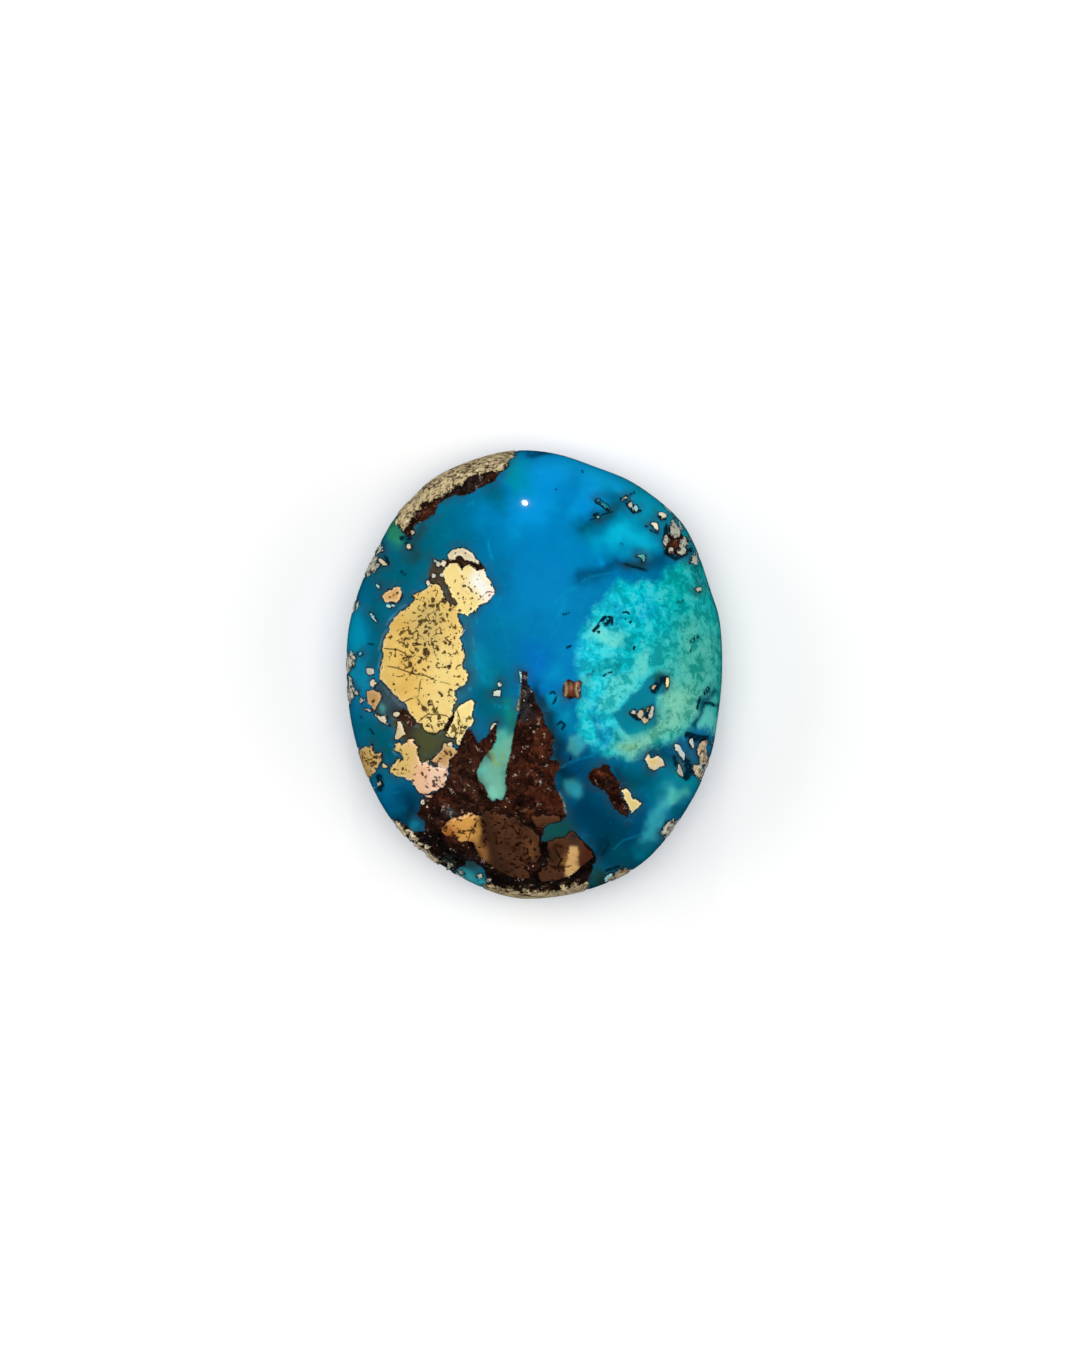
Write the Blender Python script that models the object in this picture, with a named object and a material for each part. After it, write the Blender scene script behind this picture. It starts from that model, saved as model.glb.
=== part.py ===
"""Polished freeform turquoise stone with a domed face and a flat back.

The stone is one solid. The sizes named below are millimetres and the model is built in
metres, +Z up. +X is the stone's right and +Y its top as the domed face is looked at. The
flat back lies on Z = 0, under the middle of the outline.
"""

import math

import bmesh
import bpy
import numpy as np
from mathutils import Vector, noise

MM = 0.001

NODE = "turquoise_stone"

# Driving sizes, in millimetres
LENGTH = 22.5
WIDTH = 18.85
HEIGHT = 8.2
GIRDLE_HEIGHT = 2.1

# The widest line of the stone, right side first and turning left, as read on a 22.5 mm stone
OUTLINE = (
    (9.40, 0.00), (9.30, 2.50), (8.85, 4.10), (8.00, 6.50), (7.00, 8.00), (5.00, 9.55),
    (3.00, 10.40), (1.00, 11.05), (-1.00, 11.20), (-3.00, 10.75), (-5.00, 9.85),
    (-6.50, 8.50), (-7.35, 7.35), (-8.55, 4.95), (-9.32, 2.50), (-9.47, 0.00),
    (-9.22, -2.47), (-8.52, -4.92), (-7.27, -7.27), (-5.50, -9.15), (-3.00, -10.60),
    (-1.00, -11.25), (1.00, -11.20), (3.00, -10.75), (5.00, -9.80), (6.50, -8.40),
    (8.00, -6.15), (8.80, -4.20), (9.15, -2.46),
)

# The dome's section is a superellipse; so is the bevel that runs down to the flat back
DOME_SPREAD = 2.35
DOME_FALL = 2.1
BACK_SHARE = 0.90
BEVEL_POWER = 2.6

# The dome leans: its crown lies a little towards the lower right
LEAN = (0.022, -0.016)

# Flats left on the flank by grinding: (azimuth, tilt from vertical, cut into the dome, mm)
GROUND_FLATS = (
    (127.0, 50.0, 0.30),
    (203.0, 44.0, 0.22),
    (318.0, 47.0, 0.26),
    (28.0, 40.0, 0.20),
)
FLAT_BLEND = 0.35

# Equal steps down the section, from the crown to the edge of the back
RINGS = 35
SECTORS = 6

# Brown matrix, softer than the rest and so worn below the polish
MATRIX = (
    (-0.55, 0.10), (-0.10, -0.95), (0.50, -2.20), (0.93, -3.60), (1.20, -4.80), (1.00, -5.50),
    (1.55, -7.00), (0.80, -7.45), (0.67, -8.40), (1.86, -7.90), (3.10, -9.20), (2.30, -10.40),
    (0.00, -10.90), (-2.00, -10.40), (-3.60, -9.30), (-6.10, -8.10), (-5.60, -6.50),
    (-4.40, -5.20), (-3.80, -3.40), (-3.18, -2.90), (-2.85, -3.50), (-1.95, -2.55),
    (-2.40, -4.00), (-2.90, -5.00), (-2.40, -6.10), (-1.60, -6.20), (-1.45, -5.00),
    (-1.05, -3.40), (-0.80, -2.00),
)
BAR = (
    (2.66, -5.28), (2.96, -4.76), (3.67, -4.50), (4.38, -5.72), (4.80, -6.90), (4.22, -7.00),
    (3.48, -5.88),
)
KNOT = ((1.33, -0.85), (1.66, -0.30), (2.40, -0.38), (2.30, -1.30), (1.50, -1.20))
SUNKEN = (MATRIX, BAR, KNOT)
MATRIX_DEPTH = 0.16
MATRIX_LUMP = 0.10
MATRIX_LUMP_SIZE = 1.3

# Hard metallic plates that stand at the polish, some of them inside the brown matrix
LOWER_LEFT_PLATE = (
    (-4.80, -7.86), (-4.40, -7.45), (-3.20, -7.03), (-2.76, -7.66), (-2.47, -8.29),
    (-3.20, -8.45), (-4.40, -8.24),
)
LOWER_PLATE = (
    (-2.90, -8.50), (-2.30, -7.90), (-2.50, -7.00), (-1.50, -7.20), (-0.40, -7.70),
    (0.25, -8.40), (0.20, -9.20), (-0.10, -10.30), (-1.40, -10.20), (-2.50, -9.28),
)
LOWER_RIGHT_PLATE = (
    (0.67, -8.54), (1.86, -8.00), (3.07, -9.28), (2.08, -10.00), (0.33, -10.45),
    (0.75, -9.30),
)
LARGE_PLATE = (
    (-4.90, 4.50), (-6.13, 3.90), (-7.20, 2.60), (-7.70, 1.20), (-7.75, -0.30),
    (-6.60, -1.45), (-5.90, -2.50), (-5.05, -3.00), (-4.15, -1.90), (-3.70, -0.60),
    (-3.65, 1.40), (-3.75, 2.70), (-4.50, 3.95),
)
UPPER_PLATE = (
    (-4.30, 5.55), (-3.70, 5.20), (-2.90, 5.30), (-2.05, 4.10), (-3.10, 3.00),
    (-3.90, 3.10), (-4.55, 4.80),
)
PLATES = (LOWER_LEFT_PLATE, LOWER_PLATE, LOWER_RIGHT_PLATE, LARGE_PLATE, UPPER_PLATE)
PLATE_PROUD = 0.03

# Unpolished crust left along the rim
UPPER_CRUST = (
    (-0.80, 11.60), (-1.40, 10.40), (-3.60, 9.70), (-5.60, 8.50), (-6.70, 7.20),
    (-8.60, 7.80), (-6.50, 11.30), (-3.00, 12.40),
)
LOWER_CRUST = (
    (-6.90, -7.30), (-5.30, -8.70), (-2.80, -10.15), (0.00, -10.95), (2.60, -10.50),
    (2.80, -12.60), (-2.50, -12.90), (-6.80, -10.60),
)
CRUSTS = (UPPER_CRUST, LOWER_CRUST)
CRUST_DEPTH = 0.05
CRUST_LUMP = 0.08
CRUST_LUMP_SIZE = 1.0

# Open pits: (x, y, radius, depth)
PITS = (
    (3.75, -5.45, 0.50, 0.20),
    (-1.50, -6.60, 0.55, 0.22),
    (7.05, 6.70, 0.60, 0.20),
    (-5.45, 1.05, 0.45, 0.14),
    (-4.70, 5.00, 0.50, 0.15),
    (2.00, -8.25, 0.45, 0.18),
    (-3.30, -9.00, 0.60, 0.16),
    (5.60, -2.00, 0.50, 0.12),
)

BLEND = 0.45
TURQUOISE_COLOUR = (0.006, 0.215, 0.376, 1.0)


def closed_curve(points, per_span=12):
    """Points along a smooth closed curve that passes through all the given points."""
    nodes = np.array(points)
    before, after, beyond = np.roll(nodes, 1, 0), np.roll(nodes, -1, 0), np.roll(nodes, -2, 0)
    t = np.linspace(0.0, 1.0, per_span, endpoint=False)[None, :, None]
    a, b, c, d = (p[:, None, :] for p in (before, nodes, after, beyond))
    curve = 0.5 * (
        2 * b + (c - a) * t + (2 * a - 5 * b + 4 * c - d) * t**2 + (3 * b - a - 3 * c + d) * t**3
    )
    return curve.reshape(-1, 2)


def fitted_outline():
    """The girdle's curve, centred on the origin and brought to the stone's length and width."""
    curve = closed_curve(OUTLINE)
    low, high = curve.min(0), curve.max(0)
    return (curve - (low + high) / 2) * np.array((WIDTH, LENGTH)) / (high - low)


def outline_radius(angles):
    """Distance from the stone's middle to its girdle in each direction, in millimetres."""
    curve = fitted_outline()
    turn = np.arctan2(curve[:, 1], curve[:, 0])
    order = np.argsort(turn)
    radius = np.hypot(curve[:, 0], curve[:, 1])
    return np.interp(angles, turn[order], radius[order], period=2 * math.pi)


def section():
    """Shares of the outline's radius and heights, in equal steps from crown to back."""
    s = np.linspace(0.0, 1.0, 600)
    down = 1.0 - (1.0 - s) ** 2
    rise = HEIGHT - GIRDLE_HEIGHT
    dome_height = GIRDLE_HEIGHT + rise * (1.0 - down**DOME_SPREAD) ** (1.0 / DOME_FALL)
    side = np.sin(s * math.pi / 2)
    bevel_share = BACK_SHARE + (1.0 - BACK_SHARE) * (1.0 - side**BEVEL_POWER) ** (1.0 / BEVEL_POWER)
    share = np.concatenate((down, bevel_share[1:]))
    height = np.concatenate((dome_height, GIRDLE_HEIGHT * (1.0 - side[1:])))
    mean_radius = (LENGTH + WIDTH) / 4
    run = np.hypot(np.diff(share * mean_radius), np.diff(height))
    run = np.concatenate(([0.0], np.cumsum(run)))
    steps = np.linspace(0.0, run[-1], RINGS + 1)
    return np.interp(steps, run, share), np.interp(steps, run, height)


def smooth_min(a, b, blend):
    """The lower of two heights, with the crease between them rounded over."""
    mix = np.clip(0.5 + 0.5 * (b - a) / blend, 0.0, 1.0)
    return b * (1 - mix) + a * mix - blend * mix * (1 - mix)


def ground(x, y, z, share):
    """Dome heights after the grinding flats are cut into the flank."""
    for azimuth, tilt, cut in GROUND_FLATS:
        lean = math.radians(tilt)
        turn = math.radians(azimuth)
        nx, ny = math.sin(lean) * math.cos(turn), math.sin(lean) * math.sin(turn)
        nz = math.cos(lean)
        reach = (nx * x + ny * y + nz * z).max() - cut
        flat = (reach - nx * x - ny * y) / nz
        z = z + (smooth_min(z, flat, FLAT_BLEND) - z) * (1.0 - share**6)
    return z


def depth_inside(x, y, outline):
    """Distance to a closed outline, positive inside it and negative outside."""
    nodes = np.array(outline)
    best = np.full(x.shape, np.inf)
    inside = np.zeros(x.shape, bool)
    for (ax, ay), (bx, by) in zip(nodes, np.roll(nodes, -1, 0)):
        ex, ey = bx - ax, by - ay
        t = np.clip(((x - ax) * ex + (y - ay) * ey) / (ex * ex + ey * ey), 0.0, 1.0)
        best = np.minimum(best, np.hypot(x - ax - t * ex, y - ay - t * ey))
        if ey:
            inside ^= ((ay > y) != (by > y)) & (x < ax + (y - ay) * ex / ey)
    return np.where(inside, best, -best)


def cover(x, y, outlines):
    """How far the outlines cover each point, from 0 to 1, with soft edges."""
    depth = np.max([depth_inside(x, y, outline) for outline in outlines], axis=0)
    return np.clip(0.5 + depth / BLEND, 0.0, 1.0)


def lumps(places, size, seed):
    """Rounded bumps between -1 and 1, with about the given size."""
    offset = Vector((0.0, 0.0, seed))
    return np.array([noise.noise(Vector(place) / size + offset) for place in places])


def relief(x, y, places):
    """Height of the surface against the polished form: worn matrix, plates, crust, pits."""
    plates = cover(x, y, PLATES)
    matrix = cover(x, y, SUNKEN) * (1.0 - plates)
    crust = cover(x, y, CRUSTS) * (1.0 - plates)
    height = PLATE_PROUD * plates
    height = height - matrix * (MATRIX_DEPTH + MATRIX_LUMP * lumps(places, MATRIX_LUMP_SIZE, 4.0))
    height = height - crust * (CRUST_DEPTH + CRUST_LUMP * lumps(places, CRUST_LUMP_SIZE, 9.0))
    for px, py, radius, depth in PITS:
        away = np.hypot(x - px, y - py) / radius
        height = height - depth * np.clip(1.0 - away**2, 0.0, 1.0)
    return height


def ring_points():
    """Vertex places from the crown outwards, and each one's place on the face's plan."""
    shares, heights = section()
    places, plans = [], []
    for ring in range(RINGS + 1):
        count = max(1, SECTORS * ring)
        angles = np.arange(count) * 2 * math.pi / count
        radius = outline_radius(angles)
        beyond = ring > 0 and heights[ring] < GIRDLE_HEIGHT
        plan_share = 2.0 - shares[ring] if beyond else shares[ring]
        across = np.stack((np.cos(angles), np.sin(angles)), 1) * radius[:, None]
        places.append(np.column_stack((across * shares[ring], np.full(count, heights[ring]))))
        plans.append(np.column_stack((across * plan_share, np.full(count, plan_share))))
    return np.concatenate(places), np.concatenate(plans)


def ring_faces():
    """Triangles between each ring and the next, and the flat back inside the last one."""
    faces = []
    first = [0] + [1 + SECTORS * ring * (ring - 1) // 2 for ring in range(1, RINGS + 1)]
    for ring in range(1, RINGS + 1):
        outer, inner = SECTORS * ring, max(1, SECTORS * (ring - 1))
        for sector in range(SECTORS):
            for step in range(ring):
                low = first[ring - 1] + (sector * (ring - 1) + step) % inner
                near = first[ring] + sector * ring + step
                far = first[ring] + (sector * ring + step + 1) % outer
                faces.append((low, near, far))
                if step < ring - 1:
                    beside = first[ring - 1] + (sector * (ring - 1) + step + 1) % inner
                    faces.append((low, far, beside))
    last = range(first[RINGS], first[RINGS] + SECTORS * RINGS)
    faces.append(tuple(reversed(last)))
    return faces


def stone_mesh():
    """The stone's closed surface, in metres."""
    places, plans = ring_points()
    x, y, z = places.T
    share = plans[:, 2]
    on_dome = share < 1.0
    crown = np.clip(1.0 - share**2, 0.0, 1.0)
    z = z + (LEAN[0] * x + LEAN[1] * y) * crown
    z = np.where(on_dome, ground(x, y, z, np.minimum(share, 1.0)), z)
    places = np.column_stack((x, y, z))

    mesh = bmesh.new()
    verts = [mesh.verts.new(Vector(place) * MM) for place in places]
    for face in ring_faces():
        mesh.faces.new([verts[i] for i in face])
    mesh.normal_update()
    lift = relief(plans[:, 0], plans[:, 1], places)
    flat_edge = len(verts) - SECTORS * RINGS
    for vert, height in zip(verts[:flat_edge], lift[:flat_edge]):
        vert.co += vert.normal * float(height) * MM
    return mesh


def fit_height(mesh):
    """Bring the crown to the stone's height without moving the girdle or the back."""
    top = max(vert.co.z for vert in mesh.verts)
    stretch = (HEIGHT - GIRDLE_HEIGHT) * MM / (top - GIRDLE_HEIGHT * MM)
    for vert in mesh.verts:
        above = vert.co.z - GIRDLE_HEIGHT * MM
        if above > 0:
            vert.co.z = GIRDLE_HEIGHT * MM + above * stretch


def stone_material():
    """Glossy blue turquoise."""
    material = bpy.data.materials.new("turquoise")
    material.use_nodes = True
    shader = material.node_tree.nodes["Principled BSDF"]
    shader.inputs["Base Color"].default_value = TURQUOISE_COLOUR
    shader.inputs["Roughness"].default_value = 0.12
    shader.inputs["Metallic"].default_value = 0.0
    return material


def build_stone():
    """Make the stone object and link it to the scene."""
    mesh = stone_mesh()
    fit_height(mesh)
    data = bpy.data.meshes.new(NODE)
    mesh.to_mesh(data)
    mesh.free()
    data.shade_smooth()
    data.set_sharp_from_angle(angle=math.radians(40))
    data.materials.append(stone_material())
    stone = bpy.data.objects.new(NODE, data)
    bpy.context.scene.collection.objects.link(stone)
    return stone


for old in list(bpy.data.objects):
    bpy.data.objects.remove(old, do_unlink=True)
build_stone()
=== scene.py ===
"""Looks of a polished turquoise stone with pyrite plates and brown matrix.

The stone's own measures are millimetres. A mark's place on the face is read from straight
above: x to the right and y up, from the middle of the stone, at the height of its girdle.
"""

import logging
import math
from collections.abc import Callable
from dataclasses import dataclass
from enum import Enum

import bpy
import numpy as np
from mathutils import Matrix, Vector, noise

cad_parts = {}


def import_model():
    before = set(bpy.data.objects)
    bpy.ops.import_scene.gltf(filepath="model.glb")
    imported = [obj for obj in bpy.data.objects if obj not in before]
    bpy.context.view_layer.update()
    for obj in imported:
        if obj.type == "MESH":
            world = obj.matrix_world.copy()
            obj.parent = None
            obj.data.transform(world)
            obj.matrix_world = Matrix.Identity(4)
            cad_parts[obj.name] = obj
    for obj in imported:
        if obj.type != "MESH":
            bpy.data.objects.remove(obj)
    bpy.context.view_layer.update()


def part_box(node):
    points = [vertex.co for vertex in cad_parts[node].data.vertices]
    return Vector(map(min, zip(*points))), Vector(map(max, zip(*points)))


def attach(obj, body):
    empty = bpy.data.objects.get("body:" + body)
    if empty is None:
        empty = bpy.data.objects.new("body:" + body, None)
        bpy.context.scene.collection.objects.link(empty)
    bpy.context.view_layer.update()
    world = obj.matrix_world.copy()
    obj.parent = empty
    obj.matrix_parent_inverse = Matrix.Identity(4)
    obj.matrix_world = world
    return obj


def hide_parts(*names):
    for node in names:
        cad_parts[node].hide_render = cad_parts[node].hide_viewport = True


MM = 0.001
NODE = "turquoise_stone"
BODY = "root"

Point = tuple[float, float]
Points = tuple[Point, ...]
Fields = dict[str, np.ndarray]

log = logging.getLogger("turquoise")


class Tint(Enum):
    """Named colours of the stone, as screen red, green and blue out of 255."""

    HOST = (0, 104, 146)
    AZURE = (0, 122, 180)
    SKY = (4, 146, 214)
    RIM_CYAN = (6, 158, 216)
    SHOULDER = (0, 108, 142)
    TEAL_SHADE = (0, 90, 110)
    LAGOON = (0, 142, 176)
    DEEP = (0, 104, 176)
    NAVY = (0, 56, 84)
    MIDNIGHT = (0, 36, 52)
    INDIGO = (0, 70, 108)
    DARK_TEAL = (0, 86, 102)
    PINE = (0, 72, 92)
    SEA = (0, 140, 146)
    DARK_SEA = (8, 138, 152)
    RIM_GREEN = (40, 140, 100)
    BOTTLE = (14, 74, 62)
    MOSS = (30, 52, 46)
    OLIVE = (74, 76, 46)
    SLATE = (58, 72, 76)
    SMOKE = (36, 96, 112)
    SOOT = (34, 40, 42)
    HEALED = (4, 160, 200)
    CYAN = (0, 192, 208)
    LIGHT_CYAN = (8, 184, 216)
    POOL = (0, 150, 186)
    INLET = (0, 120, 142)
    SEA_GREEN = (0, 172, 172)
    SAGE = (66, 172, 158)
    PALE_SAGE = (112, 192, 166)
    FOAM = (112, 212, 196)
    MINT = (130, 206, 182)
    WINDOW = (104, 168, 146)
    WINDOW_GREEN = (10, 126, 112)
    LICHEN = (130, 160, 80)
    CELL = (84, 190, 182)
    BROWN = (56, 26, 16)
    UMBER = (80, 40, 24)
    RUST = (128, 66, 36)
    GLINT = (214, 188, 168)
    PITCH = (20, 14, 13)
    GAP = (70, 60, 44)
    GOLD = (238, 202, 114)
    DEEP_GOLD = (214, 170, 78)
    PALE_GOLD = (250, 224, 144)
    STRIP = (236, 186, 118)
    DUSTY_GOLD = (186, 166, 106)
    PIT = (54, 26, 8)
    BRIGHT = (255, 240, 212)
    WHITE = (255, 255, 244)
    CREAM = (228, 210, 172)
    SILVER = (196, 196, 178)
    CRUST = (196, 176, 130)
    TAN = (206, 160, 96)
    COPPER = (172, 116, 62)
    BRONZE = (92, 56, 34)
    DARK_BRONZE = (56, 33, 22)
    BRASS = (244, 178, 88)
    BURNT = (172, 92, 32)
    OXBLOOD = (88, 40, 24)
    ROSE = (255, 202, 160)
    BLUSH = (255, 226, 206)
    MIST = (48, 162, 176)
    BLOCK = (198, 176, 140)
    ICE = (160, 222, 224)
    ICE_GREY = (206, 218, 206)

    @property
    def linear(self) -> tuple[float, float, float]:
        """The colour as scene-linear red, green and blue."""
        return tuple(screen_to_linear(channel / 255.0) for channel in self.value)

    @property
    def rgba(self) -> tuple[float, float, float, float]:
        """The scene-linear colour with full alpha."""
        return (*self.linear, 1.0)


def screen_to_linear(channel: float) -> float:
    """Turn one screen colour channel, from 0 to 1, into scene-linear light."""
    return channel / 12.92 if channel <= 0.04045 else ((channel + 0.055) / 1.055) ** 2.4


@dataclass(frozen=True)
class Patch:
    """A plate, grain or crust that shows in the surface."""

    outline: Points
    tint: Tint
    crust: float = 0.0

    def breadth_share(self) -> float:
        """How wide the patch is against a plate whose edge is fully chipped, up to 1."""
        width = float(np.ptp(np.array(self.outline), axis=0).min())
        return min(1.0, width / 3.0) * (1.0 - 0.5 * self.crust)


@dataclass(frozen=True)
class Cloud:
    """A soft area of colour along a path, or inside a closed path when it is filled."""

    path: Points
    reach: float
    tint: Tint
    strength: float = 1.0
    filled: bool = False


@dataclass(frozen=True)
class Seam:
    """A narrow mark along a path; a path of one point is a dot."""

    path: Points
    width: float
    strength: float = 1.0


def grain(x: float, y: float, radius: float, tint: Tint, crust: float = 0.0) -> Patch:
    """Make a small angular grain.

    Args:
        x: Place of its middle, to the right.
        y: Place of its middle, upwards.
        radius: Its mean radius.
        tint: Its colour.
        crust: How weathered it is, from 0 to 1.

    Returns:
        The grain as a patch with seven uneven corners.
    """
    corners = []
    for step in range(7):
        turn = 2 * math.pi * (step + 0.35 * math.sin(5.1 * x + step)) / 7
        reach = radius * (1.0 + 0.28 * math.sin(7.3 * y + 2.4 * step))
        corners.append((x + reach * math.cos(turn), y + reach * math.sin(turn)))
    return Patch(tuple(corners), tint, crust)


def rim_patch(inner: Points, tint: Tint, run: float = 1.6) -> Patch:
    """Make a patch that runs from an inner edge on the face out over the rim.

    Args:
        inner: The edge of the patch on the face.
        tint: Its colour.
        run: The furthest that the patch may go outwards from its inner edge.

    Returns:
        The closed patch, rounded below the rim and no longer there than it is wide.
    """
    (ax, ay), (bx, by) = inner[0], inner[-1]
    drop = min(run, 0.4 * math.hypot(bx - ax, by - ay))
    lean = 0.03 * math.sin(3.7 * ax + 2.9 * ay)
    steps = max(6, len(inner))
    lower = []
    for step in range(steps + 1):
        along = step / steps * (len(inner) - 1)
        first = min(int(along), len(inner) - 2)
        share = along - first
        x = inner[first][0] * (1.0 - share) + inner[first + 1][0] * share
        y = inner[first][1] * (1.0 - share) + inner[first + 1][1] * share
        swell = abs(math.sin(math.pi * step / steps))
        uneven = 1.0 + 0.22 * math.sin(2.3 * x - 3.1 * y) + 0.14 * math.sin(7.0 * x + 5.0 * y)
        reach = 1.0 + (0.12 + drop * swell * uneven) / math.hypot(x, y)
        lower.append((reach * x - lean * y, reach * y + lean * x))
    return Patch(inner + tuple(reversed(lower)), tint, crust=1.0)


LARGE_PLATE = (
    (-4.9, 4.5), (-5.2, 4.45), (-5.5, 4.2), (-5.8, 4.05), (-6.13, 3.9), (-5.95, 3.8),
    (-6.3, 3.36), (-6.67, 3.18), (-6.9, 2.9), (-7.05, 2.77), (-7.23, 2.6), (-7.33, 2.36),
    (-7.28, 2.15), (-7.5, 1.9), (-7.7, 1.2), (-7.6, 1.0), (-7.74, 0.25), (-7.8, -0.28),
    (-7.54, -0.5), (-7.3, -0.8), (-6.92, -1.18), (-6.72, -1.41), (-6.54, -1.44),
    (-6.26, -2.08), (-6.05, -2.23), (-5.97, -2.46), (-5.7, -2.5), (-5.64, -2.59),
    (-5.49, -2.87), (-5.08, -3.0), (-4.87, -2.92), (-4.56, -2.69), (-4.41, -2.38),
    (-4.2, -2.08), (-4.15, -1.62), (-4.0, -1.26), (-4.03, -0.79), (-3.72, -0.69),
    (-3.41, -0.38), (-3.38, -0.08), (-3.54, 0.15), (-3.64, 0.1), (-3.67, 0.5), (-3.62, 0.9),
    (-3.67, 1.46), (-3.82, 1.72), (-3.62, 2.13), (-3.64, 2.38), (-3.82, 2.64), (-3.95, 3.2),
    (-4.25, 3.5), (-4.56, 3.72), (-4.56, 3.92), (-4.72, 4.18),
)
UPPER_PLATE = (
    (-4.32, 5.55), (-3.94, 5.57), (-3.74, 5.3), (-3.75, 5.05), (-3.6, 5.36), (-3.3, 5.48),
    (-2.9, 5.2), (-2.55, 5.25), (-2.44, 4.8), (-2.15, 4.38), (-2.03, 4.0), (-2.4, 3.64),
    (-2.87, 3.36), (-3.13, 3.05), (-3.38, 2.92), (-3.64, 3.05), (-3.9, 2.97), (-3.95, 3.26),
    (-3.87, 3.5), (-4.2, 4.03), (-4.54, 4.7), (-4.6, 5.0), (-4.5, 5.3),
)
CAP_ARC = (
    (-4.4, 5.95), (-4.35, 5.75), (-4.15, 5.7), (-3.9, 5.95), (-3.7, 5.95), (-3.5, 5.7),
    (-3.1, 5.6), (-2.75, 5.5), (-2.95, 5.75), (-3.15, 6.0), (-3.5, 6.25), (-3.8, 6.3),
    (-4.15, 6.2),
)
SMALL_PLATE = (
    (-7.68, 3.87), (-7.57, 4.0), (-7.45, 4.08), (-7.36, 4.2), (-7.15, 4.19), (-7.11, 4.31),
    (-6.94, 4.35), (-6.78, 4.35), (-6.71, 4.12), (-6.73, 3.91), (-6.82, 3.66), (-6.99, 3.58),
    (-7.15, 3.62), (-7.28, 3.58), (-7.53, 3.62),
)
SHARD = (
    (-3.18, -1.34), (-3.02, -1.45), (-3.14, -1.85), (-3.2, -2.2), (-3.09, -2.35),
    (-3.23, -2.62), (-3.54, -2.93), (-3.72, -3.3), (-3.76, -3.6), (-3.9, -3.6), (-4.0, -3.24),
    (-4.48, -3.1), (-4.32, -2.8), (-4.12, -2.35), (-4.0, -1.9), (-3.72, -1.58),
)
FACET = (
    (-4.57, -3.44), (-4.35, -3.7), (-4.0, -3.75), (-3.95, -3.96), (-4.1, -4.15),
    (-4.32, -4.32), (-4.3, -4.8), (-5.05, -4.6), (-5.18, -4.36), (-5.0, -4.15), (-4.65, -3.8),
)
ROSE_PLATE = (
    (-7.3, -4.8), (-7.08, -4.54), (-6.9, -4.34), (-6.6, -4.4), (-6.6, -4.2), (-6.75, -4.0),
    (-6.64, -3.6), (-6.35, -3.5), (-6.35, -3.35), (-6.14, -3.36), (-6.0, -3.6), (-5.85, -3.7),
    (-6.0, -3.95), (-5.85, -4.3), (-5.7, -4.5), (-5.2, -4.65), (-4.4, -4.8), (-4.35, -5.1),
    (-4.5, -5.4), (-4.8, -5.8), (-5.2, -6.0), (-5.8, -6.0), (-6.0, -5.7), (-6.2, -5.4),
    (-6.7, -5.2), (-7.0, -5.1), (-7.3, -4.95),
)
LEFT_WEDGE = (
    (-8.44, -0.9), (-8.15, -0.85), (-7.98, -0.9), (-7.77, -0.97), (-7.77, -1.26),
    (-7.95, -1.6), (-8.08, -1.85), (-8.2, -1.65), (-8.4, -1.5),
)
WEB = (
    (-8.07, -2.05), (-7.8, -2.15), (-7.5, -2.1), (-7.47, -2.5), (-7.31, -2.64), (-7.6, -2.5),
    (-7.85, -2.3),
)
TEARDROP = (
    (-6.9, -2.4), (-6.7, -2.5), (-6.6, -2.8), (-6.5, -3.05), (-6.75, -3.15), (-6.9, -3.3),
    (-7.05, -3.3), (-6.95, -2.95),
)
LITTLE_HOOK = (
    (-7.05, -3.55), (-6.75, -3.5), (-6.7, -3.75), (-6.86, -4.0), (-7.1, -3.8), (-6.95, -3.65),
)
LEFT_RIM_PLATE = (
    (-9.1, -4.9), (-9.25, -4.5), (-9.05, -4.1), (-8.81, -3.85), (-8.56, -3.69), (-8.27, -3.74), (-8.23, -3.58),
    (-8.2, -3.87), (-8.03, -4.05), (-7.71, -4.0), (-7.76, -4.5), (-7.9, -4.72), (-8.16, -4.77),
    (-8.05, -4.9), (-8.2, -5.13), (-8.42, -5.2), (-8.7, -5.45),
)
LOWER_PLATE = (
    (-4.75, -7.88), (-4.5, -7.55), (-4.2, -7.35), (-3.75, -7.25), (-3.3, -7.08),
    (-2.9, -7.18), (-2.72, -7.1), (-2.5, -6.97), (-2.0, -7.0), (-1.5, -7.15), (-0.9, -7.25),
    (-0.7, -7.45), (-0.4, -7.7), (-0.1, -7.95), (0.25, -8.2), (0.2, -8.7), (0.28, -9.15),
    (0.05, -9.5), (-0.3, -9.55), (-0.55, -9.8), (-0.3, -10.0), (-0.2, -10.3), (-0.8, -10.33),
    (-1.3, -10.2), (-1.86, -9.92), (-2.4, -9.52), (-2.85, -9.15), (-3.0, -8.75),
    (-3.1, -8.5), (-3.45, -8.42), (-3.7, -8.5), (-4.1, -8.25), (-4.5, -8.2),
)
LOWER_RIGHT_PLATE = (
    (0.67, -8.5), (1.0, -8.36), (1.29, -8.27), (1.57, -8.23), (1.85, -7.92), (2.1, -8.15),
    (2.4, -8.5), (2.75, -8.85), (2.97, -9.2), (2.63, -9.5), (2.35, -9.7), (2.13, -9.95),
    (1.8, -10.17), (1.5, -10.25), (1.1, -10.4), (0.33, -10.49), (0.12, -10.2), (0.45, -9.8),
    (0.8, -9.3), (0.62, -8.85),
)
LOWER_CHIP = (
    (-0.2, -7.2), (0.4, -7.1), (1.2, -7.2), (1.3, -7.4), (0.7, -7.5), (0.4, -7.75),
    (0.1, -7.75), (-0.1, -7.5),
)
BAR_GOLD = (
    (4.32, -5.88), (4.57, -5.77), (4.76, -5.99), (4.9, -6.31), (5.06, -6.34), (5.39, -6.56),
    (5.06, -6.8), (4.87, -7.0), (4.76, -6.8), (4.6, -6.48), (4.46, -6.2),
)
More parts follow.
